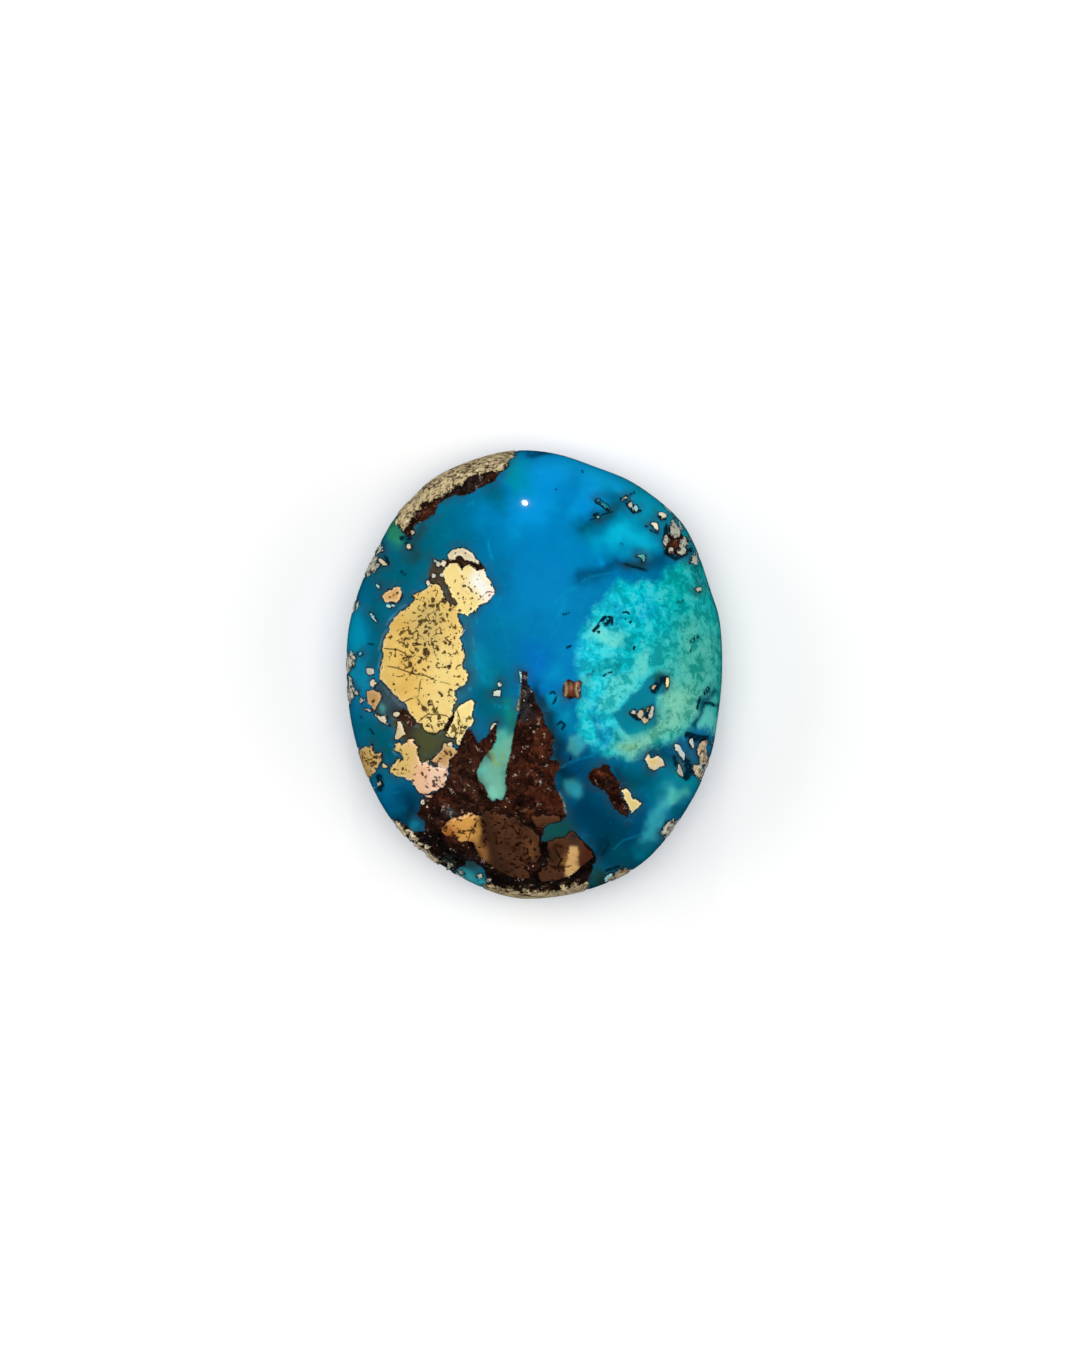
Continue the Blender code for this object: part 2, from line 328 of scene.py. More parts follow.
DIAMOND = (
    (5.52, -4.35), (5.69, -4.05), (5.8, -4.27), (6.15, -4.13), (6.42, -4.38), (6.53, -4.63),
    (6.31, -4.65), (5.96, -4.89), (5.74, -4.71),
)
UPPER_CRUST_EDGE = (
    (-1.0, 11.05), (-1.3, 10.9), (-1.4, 10.4), (-1.9, 10.2), (-2.9, 10.0), (-3.5, 9.8),
    (-3.77, 9.5), (-4.23, 9.3), (-4.5, 9.1), (-5.0, 8.77), (-5.6, 8.6), (-5.96, 8.2),
    (-6.3, 7.73), (-6.42, 7.44), (-6.7, 7.2), (-6.9, 7.8),
)

FRONT_METAL = (
    Patch(LARGE_PLATE, Tint.GOLD),
    Patch(UPPER_PLATE, Tint.PALE_GOLD),
    Patch(CAP_ARC, Tint.CREAM),
    Patch(SMALL_PLATE, Tint.STRIP),
    Patch(SHARD, Tint.PALE_GOLD),
    Patch(FACET, Tint.TAN),
    # The rose plate is pyrite like the gold plates; its pink-white colour is a painted highlight.
    Patch(ROSE_PLATE, Tint.ROSE),
    Patch(LEFT_WEDGE, Tint.TAN),
    Patch(WEB, Tint.CREAM),
    Patch(TEARDROP, Tint.CREAM),
    Patch(LITTLE_HOOK, Tint.CREAM),
    Patch(LEFT_RIM_PLATE, Tint.TAN),
    # The lower plates are the same pyrite as the gold ones; their dark bronze tint is a painted dark
    # reflection.
    Patch(LOWER_PLATE, Tint.BRONZE),
    Patch(LOWER_RIGHT_PLATE, Tint.BRONZE),
    Patch(LOWER_CHIP, Tint.BRONZE),
    Patch(((-0.95, -6.95), (-0.6, -6.8), (-0.2, -6.85), (-0.5, -7.02)), Tint.BRONZE),
    Patch(BAR_GOLD, Tint.PALE_GOLD),
    Patch(DIAMOND, Tint.CREAM),
    rim_patch(UPPER_CRUST_EDGE, Tint.CRUST),
    Patch(((-5.15, 5.8), (-4.9, 5.6), (-4.98, 5.5)), Tint.SILVER),
    Patch(((-8.0, 4.5), (-7.85, 4.45), (-7.8, 4.28), (-7.95, 4.35)), Tint.ICE),
    Patch(((-8.33, 3.08), (-8.12, 2.9), (-7.93, 2.6), (-8.0, 2.58), (-8.2, 2.82)), Tint.ICE),
    Patch(((-7.75, 6.5), (-7.62, 6.2), (-7.85, 5.9), (-8.1, 6.1)), Tint.SILVER),
    Patch(((-7.85, 5.9), (-7.7, 5.75), (-7.45, 5.48), (-7.65, 5.45), (-7.9, 5.7)), Tint.CREAM),
    rim_patch(((-7.95, 5.85), (-7.8, 5.35), (-8.2, 5.05), (-8.55, 4.95)), Tint.SILVER),
    rim_patch(((-9.2, 1.0), (-9.05, 0.8), (-9.1, 0.5), (-9.25, 0.25), (-9.4, 0.2)), Tint.SILVER),
    rim_patch(((-9.25, -0.3), (-9.08, -0.8), (-9.15, -1.2), (-9.3, -1.25)), Tint.SILVER),
    rim_patch(((-9.0, 3.65), (-8.92, 3.5), (-9.02, 3.35)), Tint.SILVER),
    Patch(((-8.55, -1.78), (-8.3, -1.8), (-8.25, -1.9), (-8.5, -1.88)), Tint.CREAM),
    Patch(((-7.12, -2.0), (-6.9, -1.93), (-6.78, -2.02), (-6.95, -2.2), (-7.1, -2.15)), Tint.CREAM),
    Patch(((-5.35, -4.45), (-5.38, -4.35), (-5.62, -4.52), (-5.5, -4.6)), Tint.CREAM),
    Patch(((-5.5, -6.12), (-5.15, -6.1), (-5.2, -6.25), (-5.45, -6.22)), Tint.ROSE),
    Patch(((-7.65, -4.55), (-7.4, -4.68), (-7.42, -4.74), (-7.65, -4.72)), Tint.CREAM),
    rim_patch(((-7.0, -7.5), (-6.8, -7.58), (-6.68, -7.8), (-6.5, -7.82), (-6.45, -8.05)),
              Tint.CREAM),
    grain(-6.2, -8.28, 0.17, Tint.CREAM, 1.0),
    rim_patch(((-6.1, -8.55), (-5.85, -8.45), (-5.72, -8.62), (-5.8, -8.85)), Tint.CREAM),
    grain(-5.5, -8.85, 0.15, Tint.CREAM, 1.0),
    rim_patch(((-5.45, -9.15), (-5.2, -9.02), (-5.05, -9.2), (-4.85, -9.28), (-4.8, -9.6)),
              Tint.CREAM),
    grain(-4.4, -9.8, 0.11, Tint.SILVER, 1.0),
    grain(-3.72, -10.1, 0.10, Tint.SILVER, 1.0),
    rim_patch(((-2.6, -10.8), (-2.4, -10.62), (-2.15, -10.7), (-1.9, -10.62), (-1.6, -10.78),
               (-1.3, -10.7), (-1.0, -10.86), (-0.8, -10.82), (-0.6, -11.02), (-0.3, -11.0),
               (0.0, -10.9), (0.3, -11.02), (0.7, -10.9), (1.1, -10.94), (1.4, -10.78),
               (1.7, -10.82), (2.0, -10.6), (2.3, -10.6), (2.6, -10.42)), Tint.CRUST),
    Patch(((3.6, -10.22), (3.75, -10.1), (4.06, -10.0), (3.9, -10.15), (3.68, -10.24)), Tint.ICE),
    rim_patch(((3.8, -10.4), (3.95, -10.2), (4.2, -10.0), (4.46, -9.84), (4.6, -9.9)), Tint.BLOCK),
    Patch(((7.05, -3.57), (7.23, -3.57), (7.42, -3.87), (7.55, -4.1), (7.48, -4.36),
           (7.25, -4.1), (7.05, -3.8)), Tint.ICE_GREY),
    Patch(((7.12, -4.87), (7.25, -4.57), (7.38, -4.83), (7.47, -5.2), (7.32, -5.14)), Tint.SILVER),
    Patch(((7.76, -3.26), (7.92, -3.26), (7.98, -3.74), (7.89, -3.73), (7.76, -3.45)), Tint.ICE_GREY),
    rim_patch(((8.6, -3.3), (8.14, -3.59), (8.2, -4.1), (8.36, -4.54), (8.55, -4.6)), Tint.BLOCK),
    Patch(((7.87, -4.6), (8.3, -4.62), (8.45, -4.85), (8.3, -5.2), (8.05, -5.1)), Tint.CREAM, 1.0),
    rim_patch(((6.33, -8.05), (6.42, -7.8), (6.6, -7.5), (6.95, -7.38)), Tint.SILVER, 0.8),
    Patch(((5.12, -2.2), (5.2, -1.85), (5.4, -1.8), (5.48, -2.05), (5.3, -2.28)), Tint.BLOCK),
    Patch(((5.72, -2.2), (5.75, -1.9), (5.9, -1.62), (5.98, -1.7), (5.9, -2.1), (5.8, -2.25)),
          Tint.SILVER),
    Patch(((5.5, -1.9), (5.65, -1.72), (5.75, -1.68), (5.66, -1.98)), Tint.DUSTY_GOLD),
    grain(5.5, -2.38, 0.14, Tint.BLOCK),
    grain(4.96, -1.95, 0.12, Tint.SILVER),
    Patch(((5.8, -0.72), (5.95, -0.6), (6.1, -0.6), (5.95, -0.82)), Tint.BLOCK),
    Patch(((6.6, -0.15), (6.7, -0.15), (6.72, -0.6), (6.62, -0.78), (6.56, -0.5)), Tint.PALE_GOLD),
    Patch(((6.8, 7.5), (6.95, 7.7), (7.3, 7.2), (7.3, 6.9), (7.0, 6.8), (6.8, 7.1)), Tint.SILVER),
    Patch(((6.5, 6.9), (6.6, 7.0), (6.8, 6.7), (6.6, 6.4), (6.45, 6.5)), Tint.SILVER),
    Patch(((6.65, 6.1), (6.95, 6.0), (7.0, 6.4), (6.75, 6.35)), Tint.SILVER),
    Patch(((7.3, 6.7), (7.5, 6.8), (7.65, 6.5), (7.5, 6.3), (7.3, 6.4)), Tint.SILVER),
    Patch(((7.3, 6.3), (7.6, 6.3), (7.6, 6.05), (7.4, 5.95), (7.25, 6.1)), Tint.SILVER),
    Patch(((5.85, 7.5), (5.95, 7.6), (6.15, 7.55), (6.2, 7.2), (6.0, 7.3)), Tint.BRIGHT),
    Patch(((4.4, 8.75), (4.58, 8.92), (4.78, 8.7), (4.6, 8.8)), Tint.SILVER),
    grain(-4.85, 5.5, 0.14, Tint.SILVER),
    grain(-4.58, 5.55, 0.15, Tint.CREAM),
    grain(-5.1, 4.9, 0.13, Tint.SILVER),
    grain(-4.7, 4.95, 0.10, Tint.SILVER),
    grain(-5.35, 4.55, 0.13, Tint.CREAM),
    grain(-7.35, 3.40, 0.09, Tint.ICE),
    grain(-7.15, 3.42, 0.07, Tint.ICE),
    grain(-8.13, -0.5, 0.18, Tint.CREAM),
    grain(-8.3, 0.1, 0.19, Tint.SILVER),
    grain(-8.7, -1.35, 0.12, Tint.SILVER),
    grain(-8.97, -0.98, 0.10, Tint.SILVER),
    grain(-8.8, 1.0, 0.08, Tint.LIGHT_CYAN),
    grain(-7.2, -0.9, 0.07, Tint.CREAM),
    grain(-4.25, -3.56, 0.12, Tint.CREAM),
    grain(-5.63, -6.45, 0.14, Tint.BRIGHT),
    grain(-7.85, -5.55, 0.10, Tint.SILVER),
    grain(-2.75, -10.15, 0.13, Tint.SILVER, 1.0),
    grain(-2.3, -10.42, 0.12, Tint.SILVER, 1.0),
    grain(6.42, 7.95, 0.15, Tint.BRIGHT),
    grain(5.05, 8.3, 0.15, Tint.ICE),
    grain(4.8, 8.5, 0.11, Tint.SILVER),
    grain(8.0, 5.7, 0.18, Tint.SILVER),
    grain(8.25, 4.25, 0.12, Tint.SILVER),
    Patch(((5.15, 5.9), (5.35, 5.98), (5.55, 5.95), (5.5, 5.65), (5.42, 5.6), (5.42, 5.85)), Tint.CELL),
    Patch(((3.3, 8.55), (3.42, 8.62), (3.76, 8.34), (3.68, 8.24)), Tint.DARK_SEA),
    grain(3.18, 8.7, 0.11, Tint.DARK_SEA),
    grain(3.15, 7.88, 0.07, Tint.CELL),
    grain(-1.9, -1.0, 0.19, Tint.ICE_GREY),
    grain(-1.78, -0.55, 0.11, Tint.ICE_GREY),
    grain(-6.35, 6.4, 0.11, Tint.CREAM),
    grain(-6.18, 7.1, 0.10, Tint.CREAM),
    Patch(((-0.78, 0.1), (-0.7, 0.08), (-0.65, -0.4), (-0.73, -0.45)), Tint.ICE),
    Patch(((-1.9, -2.48), (-2.12, -2.56), (-2.28, -2.85), (-2.2, -2.85), (-2.08, -2.66)),
          Tint.CREAM),
)

MAIN_MATRIX = (
    (-0.6, 0.1), (-0.45, 0.05), (-0.35, -0.55), (-0.08, -0.95), (0.03, -1.35), (0.3, -1.85),
    (0.47, -2.17), (0.52, -2.55), (0.79, -2.88), (0.93, -3.3), (0.85, -3.6), (0.93, -3.9),
    (0.75, -4.3), (1.07, -4.37), (1.28, -4.65), (1.2, -4.9), (1.0, -5.15), (1.0, -5.6),
    (1.17, -6.0), (1.39, -6.3), (1.53, -6.75), (1.55, -7.2), (1.3, -7.42), (0.8, -7.45),
    (0.58, -7.56), (0.4, -7.9), (0.3, -8.4), (0.67, -8.5), (1.45, -8.3), (1.86, -7.9),
    (2.3, -8.3), (2.8, -8.75), (3.1, -9.3), (2.9, -9.7), (2.7, -10.25), (2.4, -10.9),
    (1.2, -11.3), (0.0, -11.5), (-1.0, -11.3), (-2.2, -10.95), (-2.5, -10.5), (-2.45, -10.1),
    (-2.7, -9.75), (-3.0, -9.5),
    (-3.6, -9.3), (-4.5, -9.1), (-5.4, -8.7), (-6.2, -8.0), (-5.95, -7.95), (-5.56, -7.88),
    (-5.5, -7.5), (-5.65, -7.3), (-5.95, -7.03), (-5.8, -6.75), (-5.6, -6.45), (-5.4, -6.1),
    (-4.9, -5.9), (-4.5, -5.5), (-4.3, -5.0), (-4.35, -4.5), (-4.1, -4.1), (-3.9, -3.65),
    (-3.7, -3.3), (-3.4, -2.8), (-3.18, -2.9), (-3.0, -3.2), (-2.85, -3.5), (-2.53, -3.3),
    (-2.3, -3.0), (-1.95, -2.55), (-1.95, -3.2), (-2.1, -3.65), (-2.37, -3.97),
    (-2.72, -4.4), (-2.91, -4.95), (-2.86, -5.4), (-2.5, -5.7), (-2.37, -6.14),
    (-2.12, -6.44), (-1.95, -6.25), (-1.75, -6.35), (-1.6, -6.3), (-1.47, -5.9),
    (-1.45, -5.2), (-1.4, -4.75), (-1.2, -3.86), (-1.13, -3.4), (-1.08, -3.05),
    (-1.0, -2.6), (-0.82, -2.0), (-0.9, -1.8), (-0.76, -0.97), (-0.7, -0.5),
)
BAR = (
    (2.66, -5.28), (2.72, -4.95), (2.96, -4.76), (3.26, -4.73), (3.4, -4.54), (3.67, -4.54),
    (3.81, -4.84), (4.05, -5.17), (4.16, -5.33), (4.38, -5.72), (4.25, -5.9), (4.4, -6.2),
    (4.6, -6.53), (4.76, -6.91), (4.65, -7.27), (4.46, -7.13), (4.22, -6.97), (3.94, -6.64),
    (3.72, -6.2), (3.48, -5.88), (3.2, -5.7), (2.96, -5.6),
)
KNOT = (
    (1.33, -0.85), (1.44, -0.58), (1.66, -0.27), (1.9, -0.4), (2.16, -0.36), (2.43, -0.38),
    (2.3, -0.63), (2.32, -0.96), (2.27, -1.35), (2.0, -1.25), (1.66, -1.29), (1.41, -1.07),
)
UPPER_FRINGE = (
    (-1.5, 10.4), (-1.9, 9.9), (-2.0, 9.7), (-2.5, 9.45), (-3.0, 9.2), (-3.6, 8.9),
    (-4.0, 9.0), (-4.5, 8.75), (-4.9, 8.5), (-5.0, 8.05), (-5.4, 7.8), (-6.1, 7.45),
    (-6.15, 7.1), (-6.3, 6.8), (-6.75, 7.1), (-6.5, 7.6), (-6.0, 8.4), (-4.9, 9.0),
    (-3.5, 9.9), (-1.9, 10.3),
)
BETWEEN_PLATES = (
    (-4.5, 5.75), (-3.85, 6.0), (-3.5, 5.72), (-2.7, 5.55), (-2.5, 5.15), (-3.6, 5.0),
    (-4.45, 5.4),
)
FLOWER_HEART = (
    (6.78, 7.45), (6.95, 7.75), (7.35, 7.2), (7.5, 6.85), (7.7, 6.5), (7.65, 6.0), (7.3, 5.92),
    (7.0, 6.0), (6.65, 6.05), (6.55, 6.35), (6.42, 6.5), (6.48, 6.92), (6.75, 7.0),
)
SHARD_SEAM = ((-4.05, -1.9), (-4.0, -2.3), (-4.4, -2.9), (-4.65, -2.8), (-4.4, -2.5), (-4.2, -2.0))
DARK_POCKET = (
    (-7.0, -2.1), (-6.6, -1.75), (-6.3, -2.1), (-6.0, -2.5), (-6.2, -2.7), (-6.7, -2.35),
)
LOWER_LEFT_MATRIX = (
    (-6.9, -7.4), (-6.4, -7.7), (-5.95, -8.05), (-5.4, -8.1), (-4.6, -8.9), (-3.9, -9.2),
    (-3.5, -9.4), (-3.55, -9.65), (-3.95, -9.8), (-4.15, -10.0), (-4.5, -10.35), (-5.1, -10.1),
    (-5.4, -9.5), (-5.9, -9.75), (-6.5, -9.0), (-6.7, -8.3), (-7.2, -8.1),
)
FRONT_MATRIX = (
    MAIN_MATRIX, BAR, KNOT, UPPER_FRINGE, BETWEEN_PLATES, FLOWER_HEART, SHARD_SEAM, DARK_POCKET,
    LOWER_LEFT_MATRIX,
)

PALE_FIELD = (
    (4.2, 4.6), (3.9, 4.2), (2.9, 3.2), (2.6, 2.2), (2.3, 1.8), (2.1, 1.1), (2.0, 0.3),
    (2.4, -0.6), (2.3, -1.2), (2.1, -1.9), (2.3, -2.8), (2.5, -3.5), (3.0, -3.9), (4.0, -4.1),
    (4.8, -4.3), (5.4, -4.0), (5.7, -3.6), (7.0, -3.5), (7.5, -3.2), (8.0, -2.6), (9.6, -3.2),
    (12.5, -3.0), (12.5, 5.0), (8.6, 5.8), (7.2, 5.6), (6.5, 5.0), (6.1, 4.5), (5.2, 4.6),
)
SIDE_PALE = ((1.85, -3.3), (1.8, -3.8), (2.1, -4.0), (2.35, -3.6), (2.2, -3.2))
FRONT_PALE = (PALE_FIELD,)

INLET = (
    (4.0, -2.0), (4.55, -1.6), (4.85, -1.1), (5.4, -0.8), (5.65, -0.3), (6.4, 0.0), (6.6, -0.2),
    (6.5, -0.9), (6.0, -1.1), (6.05, -2.5), (5.5, -2.8), (4.8, -3.05), (4.4, -2.75),
)
END_CELL = ((8.2, -2.9), (8.3, -2.1), (8.6, -1.85), (9.1, -2.4), (9.1, -3.1))

FRONT_HOST = (
    Cloud(((0.7, 4.6),), 3.7, Tint.AZURE),
    Cloud(((0.9, 10.3), (0.0, 8.4)), 1.7, Tint.SKY, 0.9),
    Cloud(((1.8, 10.9), (4.2, 9.9)), 0.8, Tint.RIM_CYAN, 0.9),
    Cloud(((1.9, 9.2), (0.2, 6.0)), 0.8, Tint.AZURE, 0.6),
    Cloud(((-4.2, 8.2), (-5.0, 6.8)), 2.0, Tint.SHOULDER),
    Cloud(((-2.4, 7.8),), 0.8, Tint.AZURE, 0.8),
    Cloud(((-7.0, 5.0), (-6.0, 6.0)), 2.0, Tint.TEAL_SHADE),
    Cloud(((-9.3, 2.8), (-9.2, 0.0)), 0.9, Tint.LAGOON),
    Cloud(((-7.7, 3.4), (-8.0, 0.6)), 0.5, Tint.TEAL_SHADE, 0.9),
    Cloud(((-1.8, 2.2), (-2.1, 0.2)), 0.6, Tint.LAGOON, 0.45),
    Cloud(((-2.5, 1.5),), 1.6, Tint.HOST),
    Cloud(((-2.4, -0.6), (-2.2, -1.8)), 1.2, Tint.TEAL_SHADE),
    Cloud(((0.2, 0.9), (0.3, -0.4)), 0.9, Tint.DEEP),
    Cloud(((1.6, 1.2), (1.6, -0.4)), 0.8, Tint.AZURE, 0.8),
    Cloud(((2.5, -5.8), (1.9, -4.2)), 1.4, Tint.INDIGO),
    Cloud(((5.0, -8.4), (3.4, -7.6), (2.4, -6.8)), 1.5, Tint.NAVY),
    Cloud(((5.0, -5.3),), 1.1, Tint.DARK_TEAL),
    Cloud(((6.7, -5.1), (6.2, -5.8)), 0.6, Tint.INLET, 0.9),
    Cloud(((4.5, -9.2),), 1.2, Tint.PINE),
    Cloud(((3.3, -9.0), (3.5, -8.5)), 0.55, Tint.MIDNIGHT, 0.85),
    Cloud(((-6.2, -6.0), (-6.2, -7.2)), 0.9, Tint.NAVY),
    Cloud(((-8.9, -3.0), (-8.6, -2.2)), 0.8, Tint.SHOULDER),
    Cloud(((1.9, -1.9), (1.7, -2.6)), 0.6, Tint.HOST, 0.8),
    Cloud(((3.0, 9.4), (2.4, 8.3)), 0.6, Tint.SKY, 0.8),
    Cloud(((-1.9, 5.4), (-1.6, 4.2)), 0.6, Tint.HOST, 0.85),
    Cloud(((-7.9, -3.2), (-7.4, -4.2)), 0.8, Tint.DARK_TEAL),
    Cloud(((5.0, 9.3), (6.6, 8.3), (8.0, 6.6)), 1.0, Tint.DARK_SEA, 0.9),
    Cloud(((5.7, 8.3), (5.2, 7.8)), 0.45, Tint.POOL, 0.8),
    Cloud(((5.0, 8.9), (5.8, 8.7)), 0.4, Tint.POOL, 0.9),
    Cloud(((2.4, 7.2), (3.1, 7.8), (4.4, 8.7)), 0.42, Tint.PINE, 0.85),
    Cloud(((3.1, 6.6), (4.4, 7.3)), 0.65, Tint.POOL, 0.8),
    Cloud(((4.2, 7.0), (5.0, 6.8), (5.6, 6.5)), 0.58, Tint.LIGHT_CYAN, 0.8),
    Cloud(((2.5, 4.8), (4.2, 5.5), (6.6, 5.9)), 0.45, Tint.INDIGO, 0.85),
    Cloud(((4.6, 5.5), (5.1, 5.6)), 0.32, Tint.MOSS, 0.7),
    Cloud(((3.2, 5.55),), 0.3, Tint.SKY, 0.7),
    Cloud(((-0.8, 10.9), (-0.4, 9.4)), 0.5, Tint.LAGOON, 0.8),
    Cloud(((-1.1, 10.6), (-0.9, 9.6)), 0.35, Tint.SEA, 0.6),
    Cloud(((-2.3, 9.4), (-1.9, 8.8)), 0.6, Tint.TEAL_SHADE, 0.75),
    Cloud(((0.0, 11.2), (0.7, 11.1)), 0.22, Tint.NAVY, 0.8),
    Cloud(((-3.35, 2.6), (-3.25, 1.5), (-3.25, 0.4), (-3.6, -0.9), (-3.9, -1.4)), 0.38,
          Tint.SMOKE, 0.65),
    Cloud(((-5.1, 5.5), (-4.6, 5.6), (-4.3, 5.3), (-4.3, 4.6), (-3.95, 4.0), (-3.6, 3.4),
           (-3.8, 3.1), (-4.2, 3.3), (-4.6, 3.9), (-5.2, 4.5), (-5.3, 4.9)), 0.12,
          Tint.GAP, 1.0, True),
    Cloud(((4.1, -4.9), (4.5, -5.3)), 0.35, Tint.MIDNIGHT, 0.7),
    Cloud(((-6.9, -7.35), (-6.2, -7.75), (-5.8, -8.1)), 0.22, Tint.MIDNIGHT, 0.9),
    Cloud(((-7.8, -0.6), (-7.3, -1.1), (-6.7, -1.6), (-6.5, -2.1), (-7.0, -2.2), (-7.6, -2.05),
           (-8.0, -1.9)), 0.2, Tint.SLATE, 0.9, True),
    Cloud(((-7.1, -2.5), (-6.5, -2.1), (-5.6, -2.5), (-4.9, -2.9), (-4.2, -2.2), (-4.0, -1.6),
           (-4.1, -3.4), (-4.6, -3.6), (-5.2, -4.4), (-5.8, -4.5), (-6.0, -3.6), (-6.6, -3.3)),
          0.18, Tint.OLIVE, 1.0, True),
    Cloud(((-6.6, -2.1), (-6.1, -2.5), (-6.3, -2.9)), 0.35, Tint.DARK_BRONZE, 0.8),
    Cloud(((-7.55, -1.85),), 0.22, Tint.CELL, 0.5),
    Cloud(((-3.6, -8.45), (-3.2, -8.45), (-2.9, -9.4), (-3.0, -9.8), (-3.5, -9.8)), 0.25,
          Tint.MOSS, 0.95, True),
    Cloud(((0.5, -7.9), (0.9, -7.6), (1.8, -7.6), (1.4, -8.2), (0.5, -8.35)), 0.3,
          Tint.BOTTLE, 0.9, True),
    Cloud(((2.9, -10.3), (3.3, -10.6)), 0.6, Tint.BOTTLE, 0.9),
    Cloud(((-7.15, 6.7), (-7.05, 7.7)), 0.35, Tint.RIM_GREEN, 0.9),
    Cloud(((-3.6, -9.95), (-3.0, -10.2), (-2.6, -10.6)), 0.35, Tint.MIST, 0.95),
    Cloud(((-3.1, -10.25),), 0.22, Tint.CELL, 0.5),
    Cloud(((-5.85, -7.6),), 0.26, Tint.LAGOON, 0.8),
    Cloud(((5.7, -3.8), (7.1, -4.5)), 0.4, Tint.DARK_TEAL, 0.8),
    Cloud(((-5.6, 7.5), (-6.2, 6.4), (-6.1, 5.8)), 0.40, Tint.MOSS, 0.6),
    Cloud(((-1.9, -3.0), (-1.9, -3.42), (-2.0, -3.8), (-2.37, -3.97), (-2.72, -4.4),
           (-2.91, -4.95), (-2.86, -5.4), (-2.5, -5.7), (-2.37, -6.14), (-1.95, -6.3),
           (-1.6, -6.1), (-1.45, -5.2), (-1.4, -4.75), (-1.17, -3.86), (-1.0, -3.1)),
          0.16, Tint.WINDOW, 1.0, True),
    Cloud(((-1.2, -1.7), (-1.3, -2.6)), 0.42, Tint.WINDOW_GREEN, 0.85),
    Cloud(((-2.1, -5.8), (-1.9, -6.1)), 0.35, Tint.MINT, 0.6),
    Cloud(((-2.6, -4.9),), 0.3, Tint.CELL, 0.6),
    Cloud(((-1.75, -3.4), (-1.6, -2.9)), 0.3, Tint.SAGE, 0.7),
    Cloud(((-1.35, -3.9), (-1.5, -4.9)), 0.09, Tint.LICHEN, 0.35),
    Cloud(((-2.1, -3.75), (-1.9, -4.1), (-1.8, -4.5)), 0.10, Tint.LICHEN, 0.8),
    Cloud(((-2.3, -3.8), (-2.15, -4.2)), 0.12, Tint.OLIVE, 0.9),
    Cloud(((1.9, -5.8),), 0.4, Tint.POOL, 0.45),
    Cloud(((2.2, -3.4), (1.0, -1.7)), 0.30, Tint.POOL, 0.2),
    Cloud(((0.9, -0.2), (1.2, 0.1)), 0.3, Tint.POOL, 0.35),
    Cloud(((6.6, -5.85), (6.6, -6.4), (6.15, -7.2), (5.9, -8.2)), 0.34, Tint.MIST, 0.9),
    Cloud(((6.6, -6.0), (6.7, -6.6)), 0.28, Tint.CELL, 0.8),
    Cloud(((6.9, -6.3), (7.8, -6.25)), 0.28, Tint.SAGE, 0.8),
    Cloud(((7.2, -5.4), (8.0, -5.7)), 0.4, Tint.SEA, 0.8),
    Cloud(((7.1, -7.0), (7.5, -6.9)), 0.34, Tint.TEAL_SHADE, 0.9),
    Cloud(((7.5, -4.5), (7.75, -4.9)), 0.22, Tint.OLIVE, 0.5),
    Cloud(((5.8, -3.75), (6.4, -3.8), (7.0, -4.2)), 0.32, Tint.NAVY, 0.7),
    Cloud(((8.0, -4.0), (8.1, -4.4)), 0.22, Tint.SMOKE, 0.8),
    Cloud(((0.15, -0.8), (0.5, -1.7), (0.9, -2.6), (1.15, -3.4), (1.2, -4.2), (1.5, -5.1),
           (1.3, -5.7)), 0.44, Tint.MIDNIGHT, 0.85),
    Cloud(((1.0, -1.3),), 0.3, Tint.POOL, 0.6),
    Cloud(((1.6, -2.1),), 0.25, Tint.POOL, 0.5),
    Cloud(SIDE_PALE, 0.16, Tint.CELL, 0.40, True),
    Cloud(((1.6, -5.5), (1.9, -5.45), (2.25, -5.7), (2.2, -6.05), (1.7, -5.95)), 0.18,
          Tint.CELL, 0.28, True),
    Cloud(((2.2, -7.5), (3.0, -8.3)), 0.6, Tint.NAVY, 0.6),
    Cloud(((2.8, 10.0), (4.1, 9.4)), 0.55, Tint.RIM_CYAN, 0.8),
    Cloud(((5.4, -7.1), (5.0, -7.8)), 0.5, Tint.INDIGO, 0.7),
    Cloud(((5.5, -9.0),), 0.45, Tint.INLET, 0.7),
    Cloud(((-6.1, -6.8),), 0.5, Tint.MIDNIGHT, 0.5),
    Cloud(((-8.3, -2.5),), 0.5, Tint.DARK_TEAL, 0.6),
    Cloud(((4.8, -5.1), (5.6, -5.6)), 0.5, Tint.NAVY, 0.4),
    Cloud(((3.3, -10.4),), 0.35, Tint.MOSS, 0.8),
    Cloud(((-2.7, 0.9), (-2.6, -0.3)), 0.45, Tint.LAGOON, 0.35),
)
